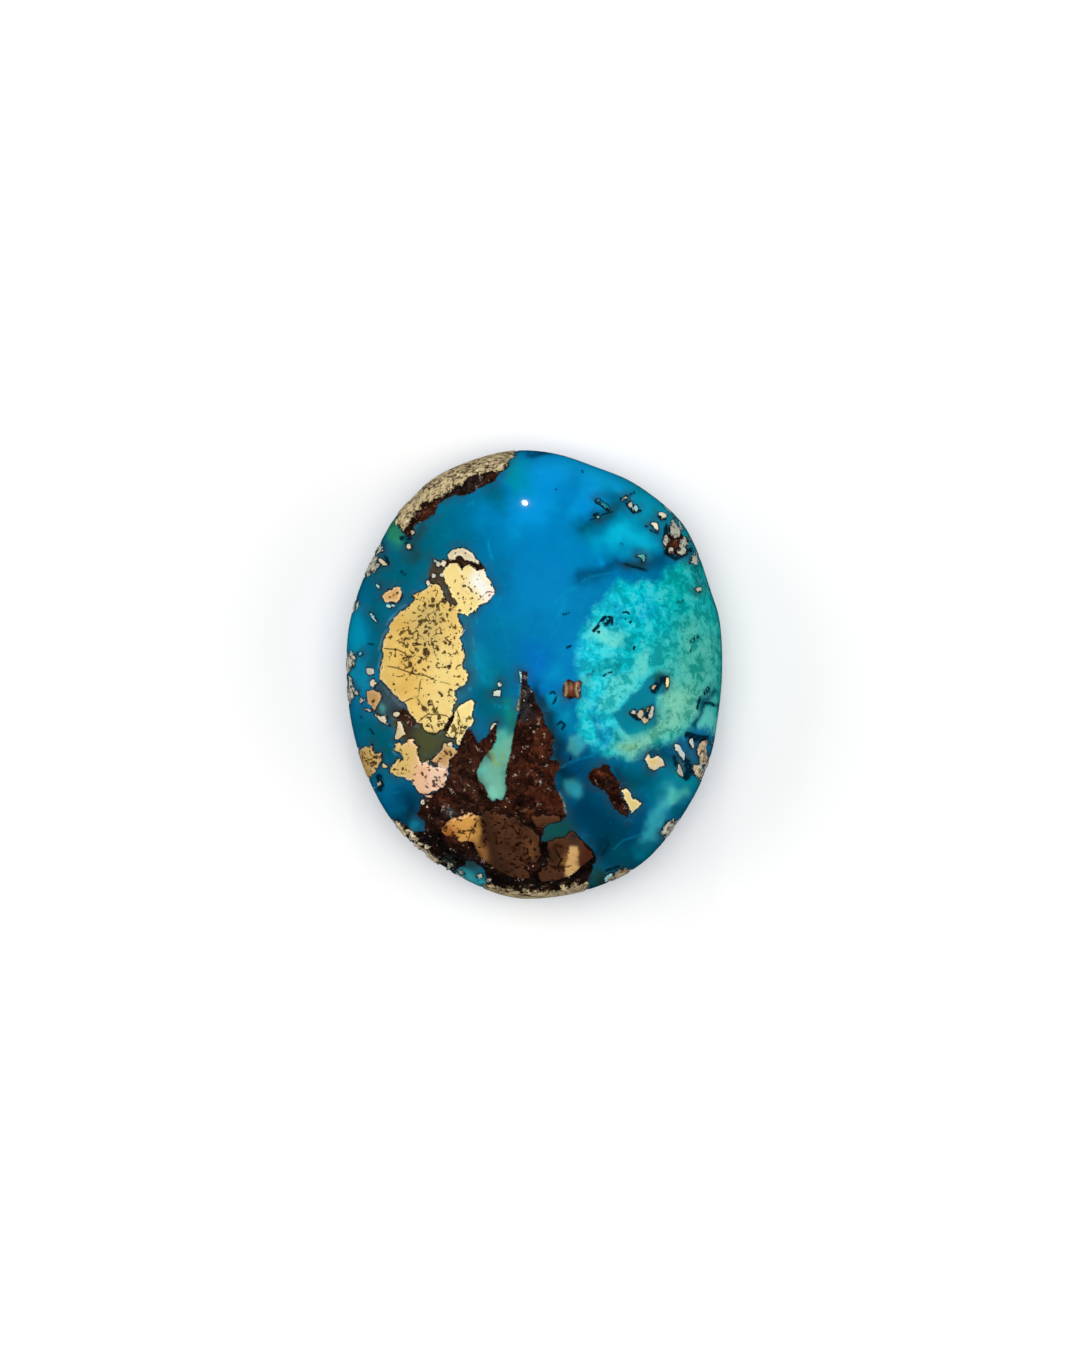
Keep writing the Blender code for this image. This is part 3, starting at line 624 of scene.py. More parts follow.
FRONT_PALE_TINTS = (
    Cloud(((3.4, 1.0), (3.6, -2.4)), 2.2, Tint.CYAN),
    Cloud(((4.0, 3.4), (5.4, 3.6)), 1.6, Tint.CYAN),
    Cloud(((2.3, 1.4), (2.2, 0.2)), 0.4, Tint.LIGHT_CYAN, 0.8),
    Cloud(((5.3, 3.1), (5.8, 3.3)), 0.5, Tint.POOL, 0.6),
    Cloud(((4.1, 3.2), (3.9, 2.7)), 0.4, Tint.POOL, 0.8),
    Cloud(((4.3, 1.6), (4.8, 1.2)), 0.4, Tint.SEA, 0.6),
    Cloud(((2.9, -1.6), (3.2, -2.2)), 0.4, Tint.POOL, 0.5),
    Cloud(((7.4, 4.4), (8.6, 3.4)), 1.2, Tint.SEA_GREEN),
    Cloud(((8.4, 1.0), (7.9, -1.2)), 1.4, Tint.SAGE),
    Cloud(((3.3, -1.7), (3.9, -1.8), (4.3, -1.2), (4.9, -0.7), (5.1, 0.3), (5.6, 1.1),
           (5.4, 0.1), (4.6, -0.1), (3.9, -0.4)), 0.20, Tint.FOAM, 0.45, True),
    Cloud(((4.8, -3.6), (6.6, -2.6), (7.4, -1.4)), 0.8, Tint.PALE_SAGE, 0.95),
    Cloud(((4.8, -3.5),), 0.35, Tint.LICHEN, 0.4),
    Cloud(((3.2, 1.9), (4.0, 1.8)), 0.35, Tint.FOAM, 0.6),
    Cloud(((7.7, 2.6), (7.4, 0.6)), 0.5, Tint.SAGE, 0.7),
    Cloud(((3.6, 0.5), (3.9, 0.1)), 0.35, Tint.SEA, 0.7),
    Cloud(((2.65, -0.05), (2.9, 0.08)), 0.16, Tint.DARK_TEAL, 0.7),
    Cloud(((2.95, -2.3), (3.3, -2.4), (3.3, -2.75), (3.9, -2.75), (3.85, -3.1), (3.55, -3.7),
           (3.1, -3.3), (3.15, -2.9)), 0.09, Tint.POOL, 0.95, True),
    Cloud(((2.6, -3.7), (3.4, -3.9)), 0.25, Tint.POOL, 0.7),
    Cloud(((4.2, -3.2), (4.0, -3.6)), 0.2, Tint.SEA, 0.7),
    Cloud(END_CELL, 0.12, Tint.CELL, 1.0, True),
    Cloud(INLET, 0.09, Tint.INLET, 1.0, True),
    Cloud(((4.9, -2.95), (5.6, -2.6)), 0.25, Tint.SEA, 0.7),
    Cloud(((6.2, -0.45), (6.35, -0.3)), 0.28, Tint.BOTTLE, 0.9),
    Cloud(((8.9, -0.7), (8.5, -1.3), (8.25, -1.95), (8.1, -2.5), (7.8, -3.1)), 0.22,
          Tint.DARK_TEAL, 1.0),
    Cloud(((8.5, -1.4), (9.2, -1.7)), 0.18, Tint.DARK_TEAL, 0.9),
    Cloud(((8.2, -3.2), (9.2, -3.3)), 0.12, Tint.DARK_TEAL, 0.9),
    Cloud(((8.1, 5.3), (8.5, 4.7)), 0.35, Tint.DARK_TEAL, 0.6),
)
FRONT_MATRIX_TINTS = (
    Cloud(((0.0, -3.2), (0.2, -5.0), (0.4, -6.4)), 0.9, Tint.RUST, 0.12),
    Cloud(((-3.4, -5.0), (-3.2, -6.4)), 0.9, Tint.DARK_BRONZE, 0.6),
    Cloud(((-5.4, -7.2), (-4.8, -7.0), (-5.3, -7.9)), 0.5, Tint.PITCH, 0.7),
    Cloud(((-5.9, -8.2), (-4.4, -8.85), (-3.2, -9.3), (-2.3, -10.05), (-1.0, -10.55),
           (0.8, -10.7), (2.2, -10.35), (3.0, -9.5)), 0.42, Tint.PITCH, 1.0),
    Cloud(((0.4, -8.6), (0.45, -9.7)), 0.3, Tint.PITCH, 0.95),
    Cloud(((-0.9, -6.7), (-0.4, -7.5), (0.1, -7.9)), 0.28, Tint.PITCH, 0.9),
    Cloud(((-0.55, -0.3), (-0.5, -2.0)), 0.42, Tint.SOOT, 0.85),
    Cloud(((3.75, -5.45),), 0.3, Tint.PITCH, 0.9),
    Cloud(((1.6, -0.8), (2.1, -0.8)), 0.25, Tint.RUST, 0.8),
    Cloud(((3.2, -5.1),), 0.35, Tint.RUST, 0.5),
    Cloud(((-4.2, 5.7), (-3.0, 5.4)), 0.4, Tint.DARK_BRONZE, 0.9),
    Cloud(((-6.6, -8.0), (-5.6, -8.6), (-4.4, -9.4), (-3.8, -9.6)), 0.5, Tint.PITCH, 0.95),
    Cloud(((-4.4, -9.3), (-4.15, -9.8)), 0.22, Tint.MOSS, 0.95),
    Cloud(((-4.25, -6.85), (-4.15, -7.1)), 0.18, Tint.SLATE, 0.9),
    Cloud(((-3.0, 9.6), (-4.2, 9.2)), 0.5, Tint.SOOT, 0.5),
    Cloud(((7.1, 6.6),), 0.22, Tint.RUST, 1.0),
    Cloud(((-0.9, -6.95), (-0.3, -6.9)), 0.12, Tint.RUST, 0.9),
    Cloud(((-5.9, 8.0), (-5.2, 8.4)), 0.3, Tint.UMBER, 0.7),
    Cloud(((-6.5, -2.2), (-6.2, -2.5)), 0.4, Tint.DARK_BRONZE, 0.9),
)
FRONT_METAL_TINTS = (
    # Painted sheen on the large plate: deeper gold to the left and pale gold to the right, a warm reflection
    # painted into the colour.
    Cloud(((-6.6, 2.3), (-7.0, 1.0), (-6.6, -0.6)), 0.85, Tint.DEEP_GOLD, 0.8),
    Cloud(((-4.4, 1.0), (-4.6, -1.0), (-4.9, -2.4)), 0.8, Tint.PALE_GOLD, 0.8),
    Cloud(((-5.1, 2.9), (-5.4, 1.9)), 0.75, Tint.DUSTY_GOLD, 0.55),
    # Painted sheen: a white highlight on the upper plate's right half, with a pink edge.
    Cloud(((-2.75, 4.75), (-2.35, 4.1)), 0.52, Tint.WHITE, 1.0),
    Cloud(((-2.2, 4.0), (-2.4, 3.7)), 0.3, Tint.BLUSH, 0.8),
    Cloud(((-3.4, -1.6),), 0.5, Tint.PALE_GOLD, 0.6),
    Cloud(((-6.4, -3.8), (-7.0, -4.8)), 0.7, Tint.GOLD, 0.95),
    # Painted highlight: the brightest pink-white on the rose plate.
    Cloud(((-5.1, -5.5), (-4.7, -5.2)), 0.45, Tint.BLUSH, 0.55),
    # Painted reflection on the lower plate: a bright brass sheen at its left, burnt orange and copper beside
    # it, and a dark band where the reflection ends.
    Cloud(((-4.7, -7.9), (-4.2, -7.5), (-3.3, -7.0), (-2.9, -7.2), (-2.85, -7.6), (-2.8, -8.0),
           (-2.95, -8.4), (-3.6, -8.4), (-4.2, -8.2)), 0.13, Tint.BRASS, 0.9, True),
    Cloud(((-4.5, -7.8), (-4.25, -7.95)), 0.36, Tint.BURNT, 0.9),
    Cloud(((-2.85, -8.3), (-2.6, -8.8), (-2.4, -9.2)), 0.30, Tint.COPPER, 0.8),
    Cloud(((-2.5, -7.2), (-2.3, -7.9), (-1.9, -8.8), (-1.6, -9.9)), 0.38, Tint.DARK_BRONZE, 0.75),
    # Painted sheen: lighter gold along the large plate's left part.
    Cloud(((-7.0, 1.6), (-7.2, 0.2)), 0.5, Tint.GOLD, 0.6),
    Cloud(((-7.15, 3.95),), 0.22, Tint.TAN, 0.8),
    Cloud(((0.9, -8.8), (1.0, -9.3)), 0.3, Tint.DARK_BRONZE, 0.7),
    Cloud(((1.0, -9.85), (1.4, -9.85)), 0.14, Tint.PITCH, 0.8),
    Cloud(((-0.9, -7.5), (-0.5, -7.9)), 0.28, Tint.DARK_BRONZE, 0.7),
    Cloud(((-1.3, -8.5), (-0.9, -9.0)), 0.26, Tint.DARK_BRONZE, 0.6),
    Cloud(((-0.3, -8.6), (-0.2, -9.1)), 0.22, Tint.COPPER, 0.25),
    Cloud(((1.45, -9.2), (1.4, -9.6)), 0.2, Tint.COPPER, 0.6),
    # Painted reflection on the lower right plate: a bright strip, then a dark red-brown right facet and a dark
    # grey apex.
    Cloud(((1.79, -8.69), (2.07, -8.78), (2.13, -9.22), (2.13, -9.72), (1.79, -10.14), (1.62, -10.1),
           (1.58, -9.72), (1.68, -9.28), (1.72, -8.94)), 0.07, Tint.STRIP, 1.0, True),
    Cloud(((2.45, -8.8), (2.65, -9.2), (2.5, -9.45)), 0.24, Tint.OXBLOOD, 1.0),
    Cloud(((1.9, -8.3),), 0.22, Tint.SOOT, 0.95),
    Cloud(((6.0, -4.45),), 0.22, Tint.GOLD, 1.0),
    Cloud(((-8.3, -4.4),), 0.6, Tint.GOLD, 0.6),
)
FRONT_PITTED = (
    Seam(((-5.1, 3.3), (-5.3, 2.2), (-5.7, 1.2), (-6.1, 0.8)), 1.2, 1.0),
    Seam(((-4.4, 1.6), (-4.6, 0.2)), 0.8, 0.8),
    Seam(((-6.8, 1.9), (-6.3, 2.4)), 0.7, 0.7),
    Seam(((-5.2, -1.4), (-5.0, -2.6)), 0.7, 0.8),
    Seam(((-2.3, 3.9), (-3.0, 3.6), (-3.4, 3.2)), 0.4, 0.7),
    Seam(((-3.7, -2.5), (-4.0, -3.2)), 0.5, 1.0),
    Seam(((-6.6, -4.6), (-5.6, -5.3), (-4.8, -5.3)), 0.9, 0.55),
    Seam(((6.6, 6.6), (7.4, 6.6)), 0.8, 0.9),
    Seam(((-4.0, 4.6), (-3.5, 4.2), (-3.3, 3.5)), 0.5, 0.6),
    Seam(((-8.3, -4.3), (-8.1, -4.6)), 0.6, 1.0),
    Seam(((-4.5, -7.8), (-4.1, -7.9)), 0.6, 1.0),
    Seam(((-3.8, -7.7), (-3.2, -7.8)), 0.6, 0.7),
    Seam(((-1.6, -7.6), (-0.8, -8.6), (-0.6, -9.6)), 1.2, 1.0),
    Seam(((0.9, -8.9), (1.1, -9.9)), 0.5, 1.0),
    Seam(((-4.6, -4.1),), 0.6, 0.9),
)
FRONT_PITS = (
    Seam(((-5.50, 1.12), (-5.40, 1.02)), 0.13),
    Seam(((-6.25, 0.52), (-6.26, 0.38)), 0.08),
    Seam(((-6.72, 0.55), (-6.6, 0.75), (-6.2, 0.86)), 0.05),
    Seam(((-4.36, 0.32), (-4.27, 0.36)), 0.09),
    Seam(((-5.55, 3.52), (-5.58, 3.42)), 0.08),
    Seam(((-5.3, 3.4), (-5.15, 3.4)), 0.07),
    Seam(((-6.55, 1.75), (-6.3, 1.76)), 0.05),
    Seam(((-6.85, 1.62), (-6.7, 1.56)), 0.05),
    Seam(((-4.65, 1.7), (-4.45, 1.5), (-4.35, 1.52)), 0.04),
    Seam(((-4.95, 1.35), (-4.85, 1.15)), 0.05),
    Seam(((-4.8, -0.98), (-4.68, -1.08)), 0.07),
    Seam(((-5.62, -1.75), (-5.52, -1.8)), 0.11),
    Seam(((-5.35, -1.56), (-5.2, -1.54)), 0.06),
    Seam(((-5.85, -1.55),), 0.07),
    Seam(((-4.85, -2.15), (-4.82, -2.25)), 0.09),
    Seam(((-5.42, -2.62), (-5.3, -2.68)), 0.05),
    Seam(((-4.6, 3.68), (-4.5, 3.6)), 0.10),
    Seam(((-4.25, 3.5), (-4.25, 3.2)), 0.05),
    Seam(((-3.95, 3.2), (-3.7, 3.15)), 0.05),
    Seam(((-5.2, 3.7), (-5.1, 3.62)), 0.05),
    Seam(((-3.85, -2.45), (-3.85, -2.75), (-3.95, -3.0)), 0.06),
    Seam(((-3.55, -2.7), (-3.48, -2.68)), 0.07),
    Seam(((-4.12, -3.3), (-4.0, -3.2)), 0.08),
    Seam(((-8.18, -1.42), (-8.1, -1.35)), 0.06),
    Seam(((-7.15, 3.92),), 0.07),
    Seam(((-6.95, 4.0), (-6.9, 4.08)), 0.04),
    Seam(((-7.3, 3.85),), 0.04),
    Seam(((-8.1, -4.2), (-7.95, -4.22)), 0.06),
    Seam(((-8.25, -4.5), (-8.0, -4.48), (-8.02, -4.6)), 0.05),
    Seam(((-4.55, -3.9), (-4.42, -4.05)), 0.06),
    Seam(((-5.1, -5.4), (-5.12, -5.65), (-5.0, -5.7)), 0.05),
    Seam(((-0.5, -8.2), (-0.4, -8.22)), 0.07),
    Seam(((-0.35, -9.55), (-0.15, -9.75)), 0.10),
    Seam(((1.05, -8.65), (1.35, -8.72)), 0.07),
    Seam(((0.9, -9.78), (1.15, -9.85), (1.4, -9.78)), 0.07),
    Seam(((1.65, -9.72),), 0.06),
    Seam(((-1.1, -7.62), (-1.1, -7.76)), 0.05),
    Seam(((-1.5, -7.52),), 0.05),
    Seam(((-1.05, -8.8), (-1.05, -8.98)), 0.06),
    Seam(((-0.88, -8.66),), 0.05),
    Seam(((-0.4, -8.92), (-0.25, -9.05)), 0.04),
    Seam(((-3.25, -7.15), (-3.2, -7.14)), 0.05),
    Seam(((-3.7, -7.38),), 0.05),
    Seam(((-3.0, -7.32),), 0.06),
    Seam(((-4.08, -8.12), (-4.0, -8.2)), 0.06),
    Seam(((-2.6, -8.0), (-2.4, -8.05)), 0.06),
    Seam(((-2.9, -8.75), (-2.6, -8.74)), 0.04),
    Seam(((0.55, -9.85),), 0.08),
    Seam(((-6.3, 8.75), (-6.05, 8.9), (-5.7, 9.15)), 0.12),
    Seam(((-5.2, 9.12),), 0.06),
    Seam(((-2.35, 10.42), (-2.2, 10.45)), 0.06),
    Seam(((-1.6, 10.75), (-1.5, 10.95)), 0.09),
    Seam(((4.4, -6.15),), 0.09),
)
FRONT_DARK = (
    Seam(((2.95, 2.15), (3.15, 2.35), (3.3, 2.6), (3.5, 2.85), (3.85, 2.8), (3.85, 2.5)), 0.07),
    Seam(((3.55, 2.5), (3.75, 2.7)), 0.12, 0.8),
    Seam(((3.2, 2.08),), 0.07),
    Seam(((4.4, 3.05), (4.55, 3.12), (4.75, 3.0)), 0.05, 0.8),
    Seam(((4.55, 2.72),), 0.05, 0.8),
    Seam(((4.8, 2.58),), 0.07),
    Seam(((4.95, 1.2), (5.0, 1.35)), 0.05, 0.9),
    Seam(((5.12, 1.15),), 0.04, 0.8),
    Seam(((2.38, 10.15),), 0.07),
    Seam(((5.6, 7.4),), 0.07, 0.8),
    Seam(((4.35, 6.5),), 0.07, 0.8),
    Seam(((1.6, 1.3), (1.8, 1.4)), 0.05, 0.9),
    Seam(((1.35, 2.97), (1.55, 2.98), (1.72, 3.08)), 0.04, 0.8),
    Seam(((3.45, -0.12), (3.6, 0.0), (3.85, 0.08)), 0.05, 0.8),
    Seam(((2.65, 0.0), (2.9, 0.1)), 0.14, 0.35),
    Seam(((7.85, 1.6), (8.15, 1.85)), 0.14, 0.5),
    Seam(((7.82, 1.1), (7.85, 1.35)), 0.05, 0.6),
    Seam(((7.2, 3.6), (7.4, 3.65)), 0.16, 0.4),
    Seam(((8.7, -0.75), (8.55, -1.0)), 0.09, 0.8),
    Seam(((8.3, -1.2), (8.15, -1.75)), 0.06, 0.8),
    Seam(((8.5, -1.5), (8.85, -1.45), (9.0, -1.6)), 0.07, 0.6),
    Seam(((7.7, -3.1), (8.1, -3.25), (8.6, -3.3)), 0.16, 0.95),
    Seam(((6.0, -0.85), (6.2, -0.5), (6.45, -0.3)), 0.16, 0.8),
    Seam(((4.85, -2.0), (5.1, -2.25), (5.5, -2.3)), 0.10, 0.9),
    Seam(((5.6, -2.0), (5.65, -2.3)), 0.06, 0.9),
    Seam(((0.75, -1.0), (0.9, -0.92), (1.1, -1.05), (1.0, -1.4), (0.9, -1.5)), 0.06, 0.7),
    Seam(((1.15, -2.55), (1.3, -2.42), (1.5, -2.6), (1.35, -2.8)), 0.06, 0.8),
    Seam(((1.5, -3.05),), 0.06, 0.7),
    Seam(((1.8, -4.2), (1.75, -4.35)), 0.06, 0.8),
    Seam(((-8.75, -2.2),), 0.08, 0.6),
    Seam(((-8.3, -2.8), (-8.1, -3.05)), 0.08, 0.5),
    Seam(((-7.85, -5.2), (-7.75, -5.6), (-7.8, -5.8)), 0.16, 0.8),
    Seam(((-8.4, 1.5), (-8.1, 1.45)), 0.05, 0.6),
    Seam(((-6.7, 5.1), (-6.55, 5.0)), 0.12, 0.5),
    Seam(((-6.45, 6.5), (-6.3, 6.3)), 0.14, 0.7),
    Seam(((-6.7, 6.8), (-6.3, 6.8)), 0.12, 0.7),
    Seam(((-7.5, 5.85), (-7.4, 5.6)), 0.10, 0.8),
    Seam(((7.6, -4.4), (7.8, -4.9), (7.6, -5.2)), 0.18, 0.8),
    Seam(((7.0, -4.2), (7.1, -4.6)), 0.10, 0.7),
    Seam(((6.6, 7.4), (6.6, 6.1), (7.1, 5.8), (7.8, 6.2)), 0.13, 0.75),
    Seam(((6.2, 7.9), (6.55, 7.75)), 0.08, 0.7),
    Seam(((5.8, 7.2), (6.2, 7.05)), 0.07, 0.6),
    Seam(((4.6, 8.6), (4.95, 8.1), (5.3, 8.2)), 0.08, 0.7),
    Seam(((2.95, 7.95), (3.15, 8.05)), 0.06, 0.9),
    Seam(((2.75, 7.7), (3.0, 7.8), (3.3, 7.95), (3.9, 8.15)), 0.05, 0.6),
    Seam(((3.05, 8.6), (3.25, 8.52), (3.7, 8.15)), 0.05, 0.6),
    Seam(((4.3, 8.8), (4.7, 8.95), (5.0, 9.1)), 0.07, 0.6),
    Seam(((1.02, 9.2), (1.1, 9.35)), 0.04, 0.7),
    Seam(((-0.3, 6.2), (-0.1, 6.22)), 0.04, 0.4),
    Seam(((4.5, 5.5), (5.0, 5.35), (5.6, 5.2)), 0.08, 0.6),
    Seam(((3.6, -9.9), (4.2, -9.7)), 0.07, 0.8),
    Seam(((3.4, -9.1), (3.7, -8.6)), 0.12, 0.4),
)
FRONT_LIGHT = (
    Seam(((1.0, 3.5), (1.5, 4.06), (2.08, 4.37), (2.7, 4.83), (3.46, 5.0), (4.08, 5.14)), 0.035, 0.45),
    Seam(((1.2, 3.0), (1.4, 3.3), (1.5, 3.7)), 0.12, 0.35),
    Seam(((0.1, 0.5), (0.5, 1.4), (1.3, 2.6)), 0.03, 0.2),
    Seam(((-2.1, 3.9), (-1.9, 3.2), (-1.6, 2.3), (-1.3, 1.2)), 0.03, 0.22),
    Seam(((-2.35, 6.65), (-2.3, 6.2), (-2.15, 5.75)), 0.035, 0.7),
    Seam(((-2.3, 7.5), (-1.5, 7.75), (-0.5, 7.8), (0.3, 7.75)), 0.035, 0.25),
    Seam(((-3.4, 8.4), (-3.25, 8.6)), 0.05, 0.4),
    Seam(((-3.15, 8.5), (-3.05, 8.6)), 0.05, 0.4),
    Seam(((1.3, -4.7), (2.0, -4.35), (3.0, -4.1)), 0.04, 0.45),
    Seam(((4.0, -8.8), (4.4, -8.4), (5.0, -8.2), (5.8, -7.9)), 0.035, 0.35),
    Seam(((0.95, -1.6), (1.15, -1.3), (1.2, -1.0)), 0.05, 0.4),
    Seam(((-0.72, 0.1), (-0.78, -0.9), (-0.86, -1.8)), 0.035, 0.8),
    Seam(((1.25, -6.0), (1.45, -6.4), (1.55, -7.0)), 0.035, 0.8),
    Seam(((1.87, 8.2),), 0.12, 0.4),
    Seam(((3.5, 9.55), (3.75, 9.5)), 0.14, 0.6),
    Seam(((2.4, 9.0),), 0.08, 0.6),
    Seam(((2.1, -3.3), (2.3, -3.5), (2.2, -3.8)), 0.12, 0.4),
    Seam(((1.7, -5.6), (2.1, -5.9)), 0.22, 0.4),
    Seam(((0.9, -0.1), (1.0, 0.3)), 0.2, 0.25),
    Seam(((1.55, -0.45), (1.6, -0.8), (1.53, -1.1)), 0.05, 0.75),
    Seam(((2.12, -0.45), (2.08, -0.8), (2.16, -1.15)), 0.05, 0.75),
    Seam(((1.8, -0.5), (1.84, -0.75)), 0.04, 0.5),
    Seam(((-3.0, 2.9), (-2.9, 2.5)), 0.04, 0.5),
    Seam(((-3.1, 1.8), (-3.05, 1.4)), 0.04, 0.5),
    Seam(((-3.0, 1.1), (-2.85, 0.6), (-2.9, 0.2)), 0.07, 0.35),
    Seam(((-2.65, -0.1), (-2.55, -0.4)), 0.06, 0.35),
    Seam(((-3.3, -0.75), (-3.25, -0.8)), 0.06, 0.7),
    Seam(((-2.1, -1.6), (-1.3, -1.75)), 0.09, 0.35),
)
FRONT_CLEAVAGE = (
    Seam(((-7.6, 0.4), (-7.0, 0.3), (-6.0, -0.05), (-5.5, -0.1), (-5.0, -0.35), (-4.2, -0.55),
          (-3.8, -0.6)), 0.12),
    Seam(((-6.5, -1.4), (-6.2, -1.25), (-5.9, -1.25), (-5.75, -1.5), (-5.6, -1.7)), 0.12),
    Seam(((-5.75, -2.35), (-5.4, -2.05), (-4.9, -2.05), (-4.2, -2.15)), 0.12),
    Seam(((-5.75, -0.4), (-5.85, -1.1)), 0.12),
    Seam(((-5.15, -1.5), (-4.95, -1.95)), 0.12),
    Seam(((-7.5, 1.25), (-6.9, 1.2), (-6.4, 0.95)), 0.12, 0.6),
    Seam(((-5.2, -2.6), (-5.05, -2.95)), 0.12),
    Seam(((-8.6, -4.4), (-8.2, -4.3), (-7.8, -4.1)), 0.12),
    Seam(((-3.9, -1.9), (-3.7, -2.5), (-3.75, -3.0)), 0.12),
    Seam(((-2.6, 3.9), (-2.4, 4.1), (-2.2, 4.1)), 0.12),
    Seam(((-3.4, -8.5), (-3.2, -7.9), (-2.9, -7.4)), 0.12, 0.7),
    Seam(((-1.9, -7.5), (-1.2, -7.65), (-0.8, -8.1)), 0.12, 0.8),
    Seam(((1.05, -8.9), (1.3, -9.3), (1.1, -9.8)), 0.12, 0.8),
)

BACK_METAL = (
    Patch(((-4.6, 5.2), (-3.1, 6.0), (-1.9, 5.1), (-2.2, 3.9), (-3.6, 3.3), (-4.8, 4.0)), Tint.GOLD),
    Patch(((-6.4, 1.8), (-5.6, 2.4), (-5.0, 1.6), (-5.4, 0.7), (-6.2, 0.8)), Tint.TAN),
    Patch(((1.2, -4.0), (2.4, -3.4), (3.6, -3.9), (3.3, -5.1), (2.2, -5.6), (1.3, -5.0)), Tint.PALE_GOLD),
    Patch(((4.9, 1.2), (5.7, 1.5), (6.0, 0.7), (5.3, 0.2)), Tint.CREAM),
    grain(-1.0, 3.0, 0.22, Tint.CREAM),
    grain(0.4, 6.3, 0.30, Tint.TAN),
    grain(4.2, 5.4, 0.26, Tint.CREAM),
    grain(-5.2, -3.4, 0.34, Tint.TAN),
    grain(5.1, -5.4, 0.22, Tint.GOLD),
    grain(6.6, -1.9, 0.20, Tint.SILVER),
    grain(-0.2, -1.1, 0.18, Tint.CREAM),
    grain(-2.8, 0.4, 0.16, Tint.CREAM),
)
BACK_MATRIX = (
    ((-5.6, -7.6), (-3.0, -9.4), (0.6, -9.8), (2.4, -8.8), (1.5, -7.2), (0.3, -5.4), (-0.2, -3.2),
     (-0.9, -1.0), (-1.4, -2.8), (-2.1, -4.6), (-3.4, -5.4), (-4.9, -6.2)),
    ((-0.9, -1.0), (-0.3, -0.9), (0.6, 1.2), (1.9, 2.9), (3.6, 3.7), (3.2, 4.1), (1.5, 3.4),
     (0.1, 1.6)),
    ((-7.6, 3.2), (-6.6, 3.0), (-5.3, 2.6), (-3.9, 3.2), (-5.2, 3.2), (-6.6, 3.7)),
    ((3.6, -5.2), (4.9, -6.2), (5.9, -6.4), (4.8, -5.5)),
)
BACK_PALE = (
    ((2.6, -1.8), (5.0, -2.4), (7.4, -1.6), (8.2, 1.0), (7.2, 3.4), (5.2, 3.2), (3.4, 1.6),
     (2.2, 0.0)),
)
BACK_HOST = (
    Cloud(((-1.0, 6.0),), 4.0, Tint.AZURE, 0.8),
    Cloud(((-5.5, -1.0),), 2.6, Tint.SHOULDER, 0.9),
    Cloud(((4.6, -5.8),), 2.4, Tint.INDIGO, 0.9),
    Cloud(((4.4, 6.0),), 2.0, Tint.LAGOON, 0.8),
    Cloud(((-2.4, -3.0), (-1.0, 0.6)), 0.8, Tint.TEAL_SHADE, 0.8),
)
BACK_PALE_TINTS = (
    Cloud(((6.6, 1.6),), 1.6, Tint.SAGE, 0.8),
    Cloud(((4.2, -0.6),), 1.4, Tint.CYAN, 0.8),
)
BACK_MATRIX_TINTS = (
    Cloud(((-2.0, -8.0),), 2.0, Tint.UMBER, 0.6),
    Cloud(((-0.6, -2.2),), 0.8, Tint.RUST, 0.4),
)
BACK_METAL_TINTS = (Cloud(((-3.2, 4.6),), 0.9, Tint.DUSTY_GOLD, 0.6),)
BACK_PITTED = (Seam(((-3.2, 4.6), (2.4, -4.6)), 1.2, 0.8),)
BACK_PITS = (
    Seam(((-3.4, 4.8), (-3.2, 4.7)), 0.12),
    Seam(((2.2, -4.5),), 0.10),
    Seam(((2.8, -4.2), (3.0, -4.4)), 0.05),
)
BACK_DARK = (
    Seam(((-6.0, 5.0), (-4.8, 6.2), (-4.2, 7.6)), 0.04, 0.6),
    Seam(((5.2, -2.6), (4.6, -4.2), (3.8, -5.0)), 0.04, 0.7),
    Seam(((3.6, 3.9), (5.0, 4.0), (6.6, 3.6)), 0.04, 0.7),
)
BACK_LIGHT = (
    Seam(((-6.8, -3.0), (-4.6, -1.8), (-2.4, -1.4)), 0.04, 0.4),
    Seam(((-2.0, 8.6), (0.4, 7.4), (2.6, 7.6)), 0.04, 0.4),
)
BACK_CLEAVAGE = (Seam(((-4.4, 4.2), (-3.2, 4.3), (-2.2, 4.8)), 0.12),)

FIELD_REACH = 1.3
CLOUD_WANDER = 0.42
EDGE_WANDER = 0.07


def path_distance(x: np.ndarray, y: np.ndarray, path: Points, closed: bool = False) -> np.ndarray:
    """Measure how far points lie from a path.

    Args:
        x: The points' places to the right.
        y: The points' places upwards.
        path: The path's corners; one corner alone is a dot.
        closed: Whether the path returns to its first corner.

    Returns:
        The distances.
    """
    nodes = list(path)
    if len(nodes) == 1:
        return np.hypot(x - nodes[0][0], y - nodes[0][1])
    ends = nodes[1:] + nodes[:1] if closed else nodes[1:]
    best = np.full(x.shape, np.inf)
    for (ax, ay), (bx, by) in zip(nodes, ends):
        ex, ey = bx - ax, by - ay
        along = np.clip(((x - ax) * ex + (y - ay) * ey) / (ex * ex + ey * ey), 0.0, 1.0)
        best = np.minimum(best, np.hypot(x - ax - along * ex, y - ay - along * ey))
    return best


def outline_depth(x: np.ndarray, y: np.ndarray, outline: Points) -> np.ndarray:
    """Measure how deep points lie inside an outline.

    Args:
        x: The points' places to the right.
        y: The points' places upwards.
        outline: The closed outline's corners.

    Returns:
        Depths, negative outside and never below minus the field's reach.
    """
    nodes = np.array(outline)
    low, high = nodes.min(0) - FIELD_REACH, nodes.max(0) + FIELD_REACH
    near = (x > low[0]) & (x < high[0]) & (y > low[1]) & (y < high[1])
    px, py = x[near], y[near]
    inside = np.zeros(px.shape, bool)
    for (ax, ay), (bx, by) in zip(nodes, np.roll(nodes, -1, 0)):
        if ay != by:
            crossing = ax + (py - ay) * (bx - ax) / (by - ay)
            inside ^= ((ay > py) != (by > py)) & (px < crossing)
    away = path_distance(px, py, outline, closed=True)
    depth = np.full(x.shape, -FIELD_REACH)
    depth[near] = np.maximum(np.where(inside, away, -away), -FIELD_REACH)
    return depth


